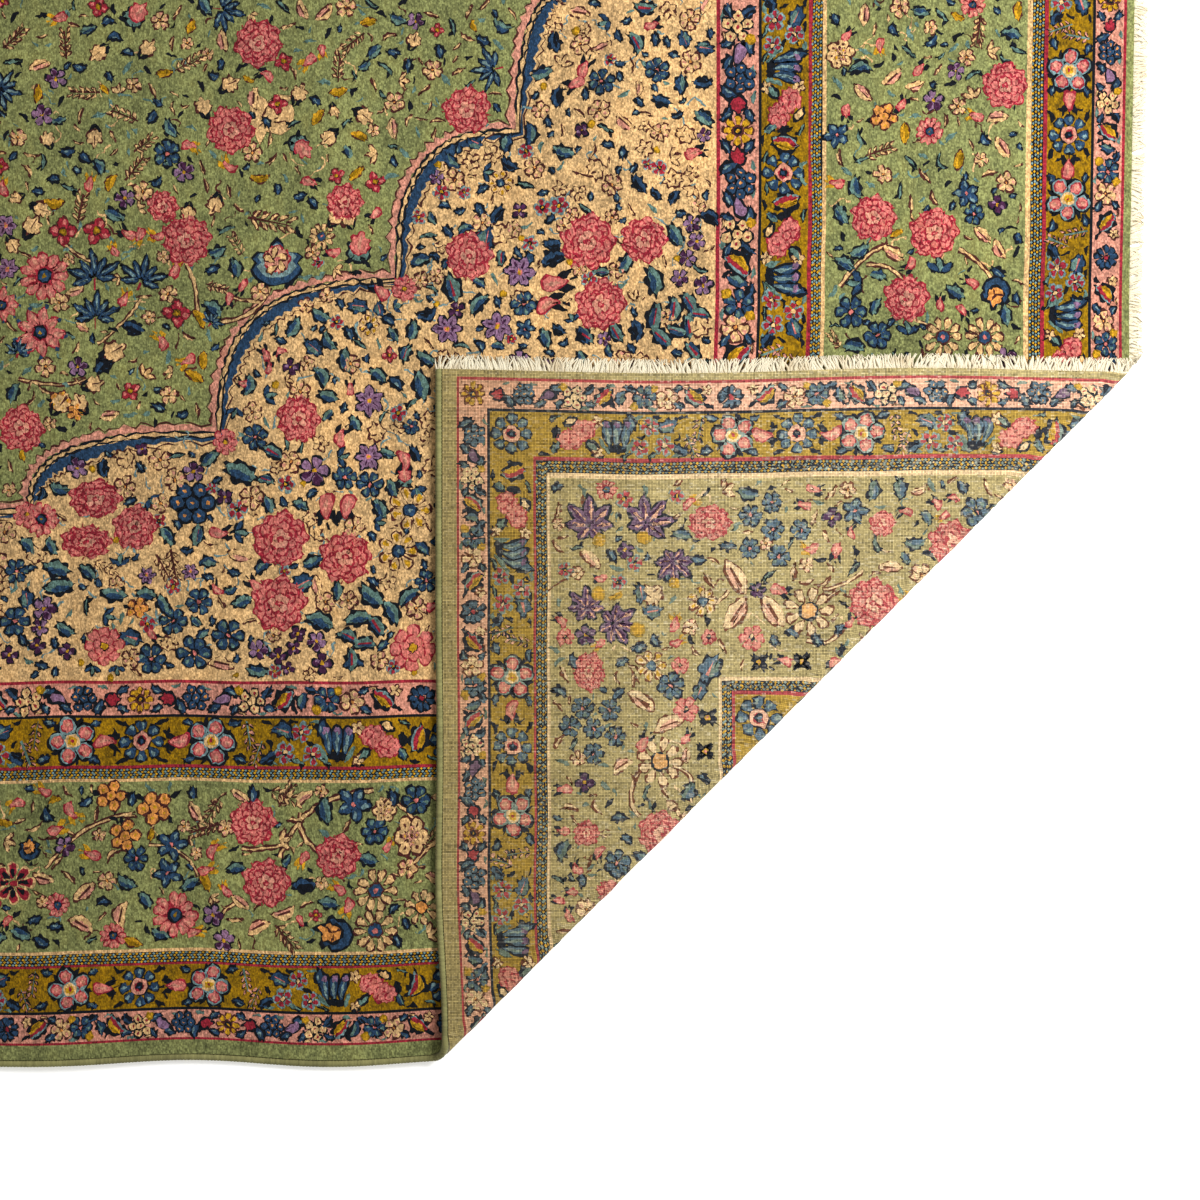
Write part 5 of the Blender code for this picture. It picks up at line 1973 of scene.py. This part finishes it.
class RUG_OT_back(bpy.types.Operator):
    """Lay the knots' backs: bands under the whole rug, and the turned corner's motifs"""

    bl_idname = "rug.back"
    bl_label = "Woven back"

    def execute(self, context):
        yarns = context.scene.rug_back_yarns
        cotton = tuple(context.scene.rug_sizes.cotton)
        for yarn in YARNS:
            places, corners = back_arrays(yarn)
            if not len(corners):
                raise RuntimeError(f"the {yarn} yarn has no back")
            material = knotted_back(yarn, getattr(yarns, yarn), cotton)
            window = WHOLE_WINDOW if yarn in BAND_YARNS else FLAP_WINDOW
            keep_piece(rug_object(f"back_{yarn}", places, corners, material, window))
        return {"FINISHED"}


class RUG_OT_cords(bpy.types.Operator):
    """Overcast the two side cords with green wool"""

    bl_idname = "rug.cords"
    bl_label = "Side cords"

    def execute(self, context):
        front, back = context.scene.rug_pile_yarns.green, context.scene.rug_back_yarns.green
        material = wrapped_wool(tuple(0.62 * f + 0.30 * b for f, b in zip(front, back)))
        for side, name in ((-1, "near"), (1, "far")):
            places, corners = cord_arrays(side, context.scene.rug_sizes.wrap_pitch)
            made = rug_object(f"side_cord_{name}_wraps", places, corners, material, WHOLE_WINDOW)
            keep_piece(made)
            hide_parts(f"side_cord_{name}")
        return {"FINISHED"}


class RUG_OT_fringes(bpy.types.Operator):
    """Lay the cotton strands along the two ends"""

    bl_idname = "rug.fringes"
    bl_label = "Fringes"

    def execute(self, context):
        sizes = context.scene.rug_sizes
        material = cotton_strands(sizes.cotton)
        for end, name in ((1, "near_corner"), (-1, "far_end")):
            places, corners = strand_arrays(end, sizes.strand_pitch, sizes.strand_width)
            made = rug_object(f"fringe_{name}_strands", places, corners, material, WHOLE_WINDOW)
            keep_piece(made)
            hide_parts(f"fringe_{name}")
        return {"FINISHED"}


class RUG_OT_sheet(bpy.types.Operator):
    """Lay the woven sheet that carries every other piece"""

    bl_idname = "rug.sheet"
    bl_label = "Woven sheet"

    def execute(self, context):
        places, corners = sheet_arrays()
        material = foundation_edge(context.scene.rug_pile_yarns.green, context.scene.rug_sizes.cotton)
        made = rug_object("woven_sheet", places, corners, material, WHOLE_WINDOW, smooth=False)
        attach(made, "root")
        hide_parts("rug_body")
        return {"FINISHED"}


CAMERA_HEIGHT = 9.0
SENSOR = 36.0
PICTURE_SPAN = 1200 * PIXEL
PICTURE_MIDDLE = ((600 + PICTURE_LEFT) * PIXEL, -(600 + PICTURE_TOP) * PIXEL)
FLOOR_HALF = 30.0
FLOOR_DROP = 0.0006  # below z = 0, so that it never touches the rug's underside
# lamp: where it hangs, how wide it is, its power in watts
LAMPS = {
    "key light": ((3.1, 0.4, 2.2), 1.5, 138.0),
    "fill light": ((-2.5, -3.0, 5.5), 4.0, 18.0),
}
SKY_COLOUR = (1.0, 0.985, 0.96, 1.0)
SKY_STRENGTH = 0.29


class RUG_OT_stage(bpy.types.Operator):
    """Set the plain floor, the soft light and the camera that looks straight down"""

    bl_idname = "rug.stage"
    bl_label = "Stage"

    def execute(self, context):
        scene = context.scene
        bm = bmesh.new()
        bmesh.ops.create_grid(bm, x_segments=1, y_segments=1, size=FLOOR_HALF)
        bmesh.ops.translate(bm, verts=bm.verts[:], vec=(0, 0, -FLOOR_DROP))
        mesh = bpy.data.meshes.new("floor")
        bm.to_mesh(mesh)
        bm.free()
        mesh.materials.append(studio_floor(scene.rug_sizes.floor))
        floor = bpy.data.objects.new("floor", mesh)
        scene.collection.objects.link(floor)

        for name, (place, size, power) in LAMPS.items():
            light = bpy.data.lights.new(name, "AREA")
            light.shape = "DISK"
            light.size = size
            light.energy = power
            lamp = bpy.data.objects.new(name, light)
            lamp.location = place
            aim = Vector((PICTURE_MIDDLE[0], PICTURE_MIDDLE[1], 0)) - Vector(place)
            lamp.rotation_euler = aim.to_track_quat("-Z", "Y").to_euler()
            scene.collection.objects.link(lamp)
        world = bpy.data.worlds.new("studio")
        world.use_nodes = True
        sky = world.node_tree.nodes["Background"]
        sky.inputs["Color"].default_value = SKY_COLOUR
        sky.inputs["Strength"].default_value = SKY_STRENGTH
        scene.world = world
        scene.view_settings.view_transform = "Standard"

        camera = bpy.data.cameras.new("picture camera")
        camera.sensor_width = SENSOR
        camera.lens = SENSOR * CAMERA_HEIGHT / PICTURE_SPAN
        camera.clip_end = 50.0
        holder = bpy.data.objects.new("picture camera", camera)
        holder.location = (*PICTURE_MIDDLE, CAMERA_HEIGHT)
        scene.collection.objects.link(holder)
        scene.camera = holder
        return {"FINISHED"}


class RUG_PT_panel(bpy.types.Panel):
    """The rug's pieces, in the order in which they are made"""

    bl_label = "Rug"
    bl_space_type = "VIEW_3D"
    bl_region_type = "UI"
    bl_category = "Rug"

    def draw(self, context):
        sizes = context.scene.rug_sizes
        for name in ("wrap_pitch", "strand_pitch", "strand_width", "cotton", "floor"):
            self.layout.prop(sizes, name)
        for yarn in YARNS:
            row = self.layout.row()
            row.prop(context.scene.rug_pile_yarns, yarn)
            row.prop(context.scene.rug_back_yarns, yarn)
        for operator in OPERATORS:
            self.layout.operator(operator.bl_idname)


OPERATORS = (RUG_OT_pile, RUG_OT_back, RUG_OT_cords, RUG_OT_fringes, RUG_OT_sheet, RUG_OT_stage)
GROUPS = (RugPileYarns, RugBackYarns, RugSizes)


def register():
    for made in GROUPS + OPERATORS + (RUG_PT_panel,):
        bpy.utils.register_class(made)
    bpy.types.Scene.rug_pile_yarns = PointerProperty(type=RugPileYarns)
    bpy.types.Scene.rug_back_yarns = PointerProperty(type=RugBackYarns)
    bpy.types.Scene.rug_sizes = PointerProperty(type=RugSizes)


def unregister():
    for name in ("rug_pile_yarns", "rug_back_yarns", "rug_sizes"):
        delattr(bpy.types.Scene, name)
    for made in reversed(GROUPS + OPERATORS + (RUG_PT_panel,)):
        bpy.utils.unregister_class(made)


def main():
    register()
    bpy.ops.rug.pile()
    bpy.ops.rug.back()
    bpy.ops.rug.cords()
    bpy.ops.rug.fringes()
    bpy.ops.rug.sheet()
    bpy.ops.rug.stage()


if __name__ == "__main__":
    main()
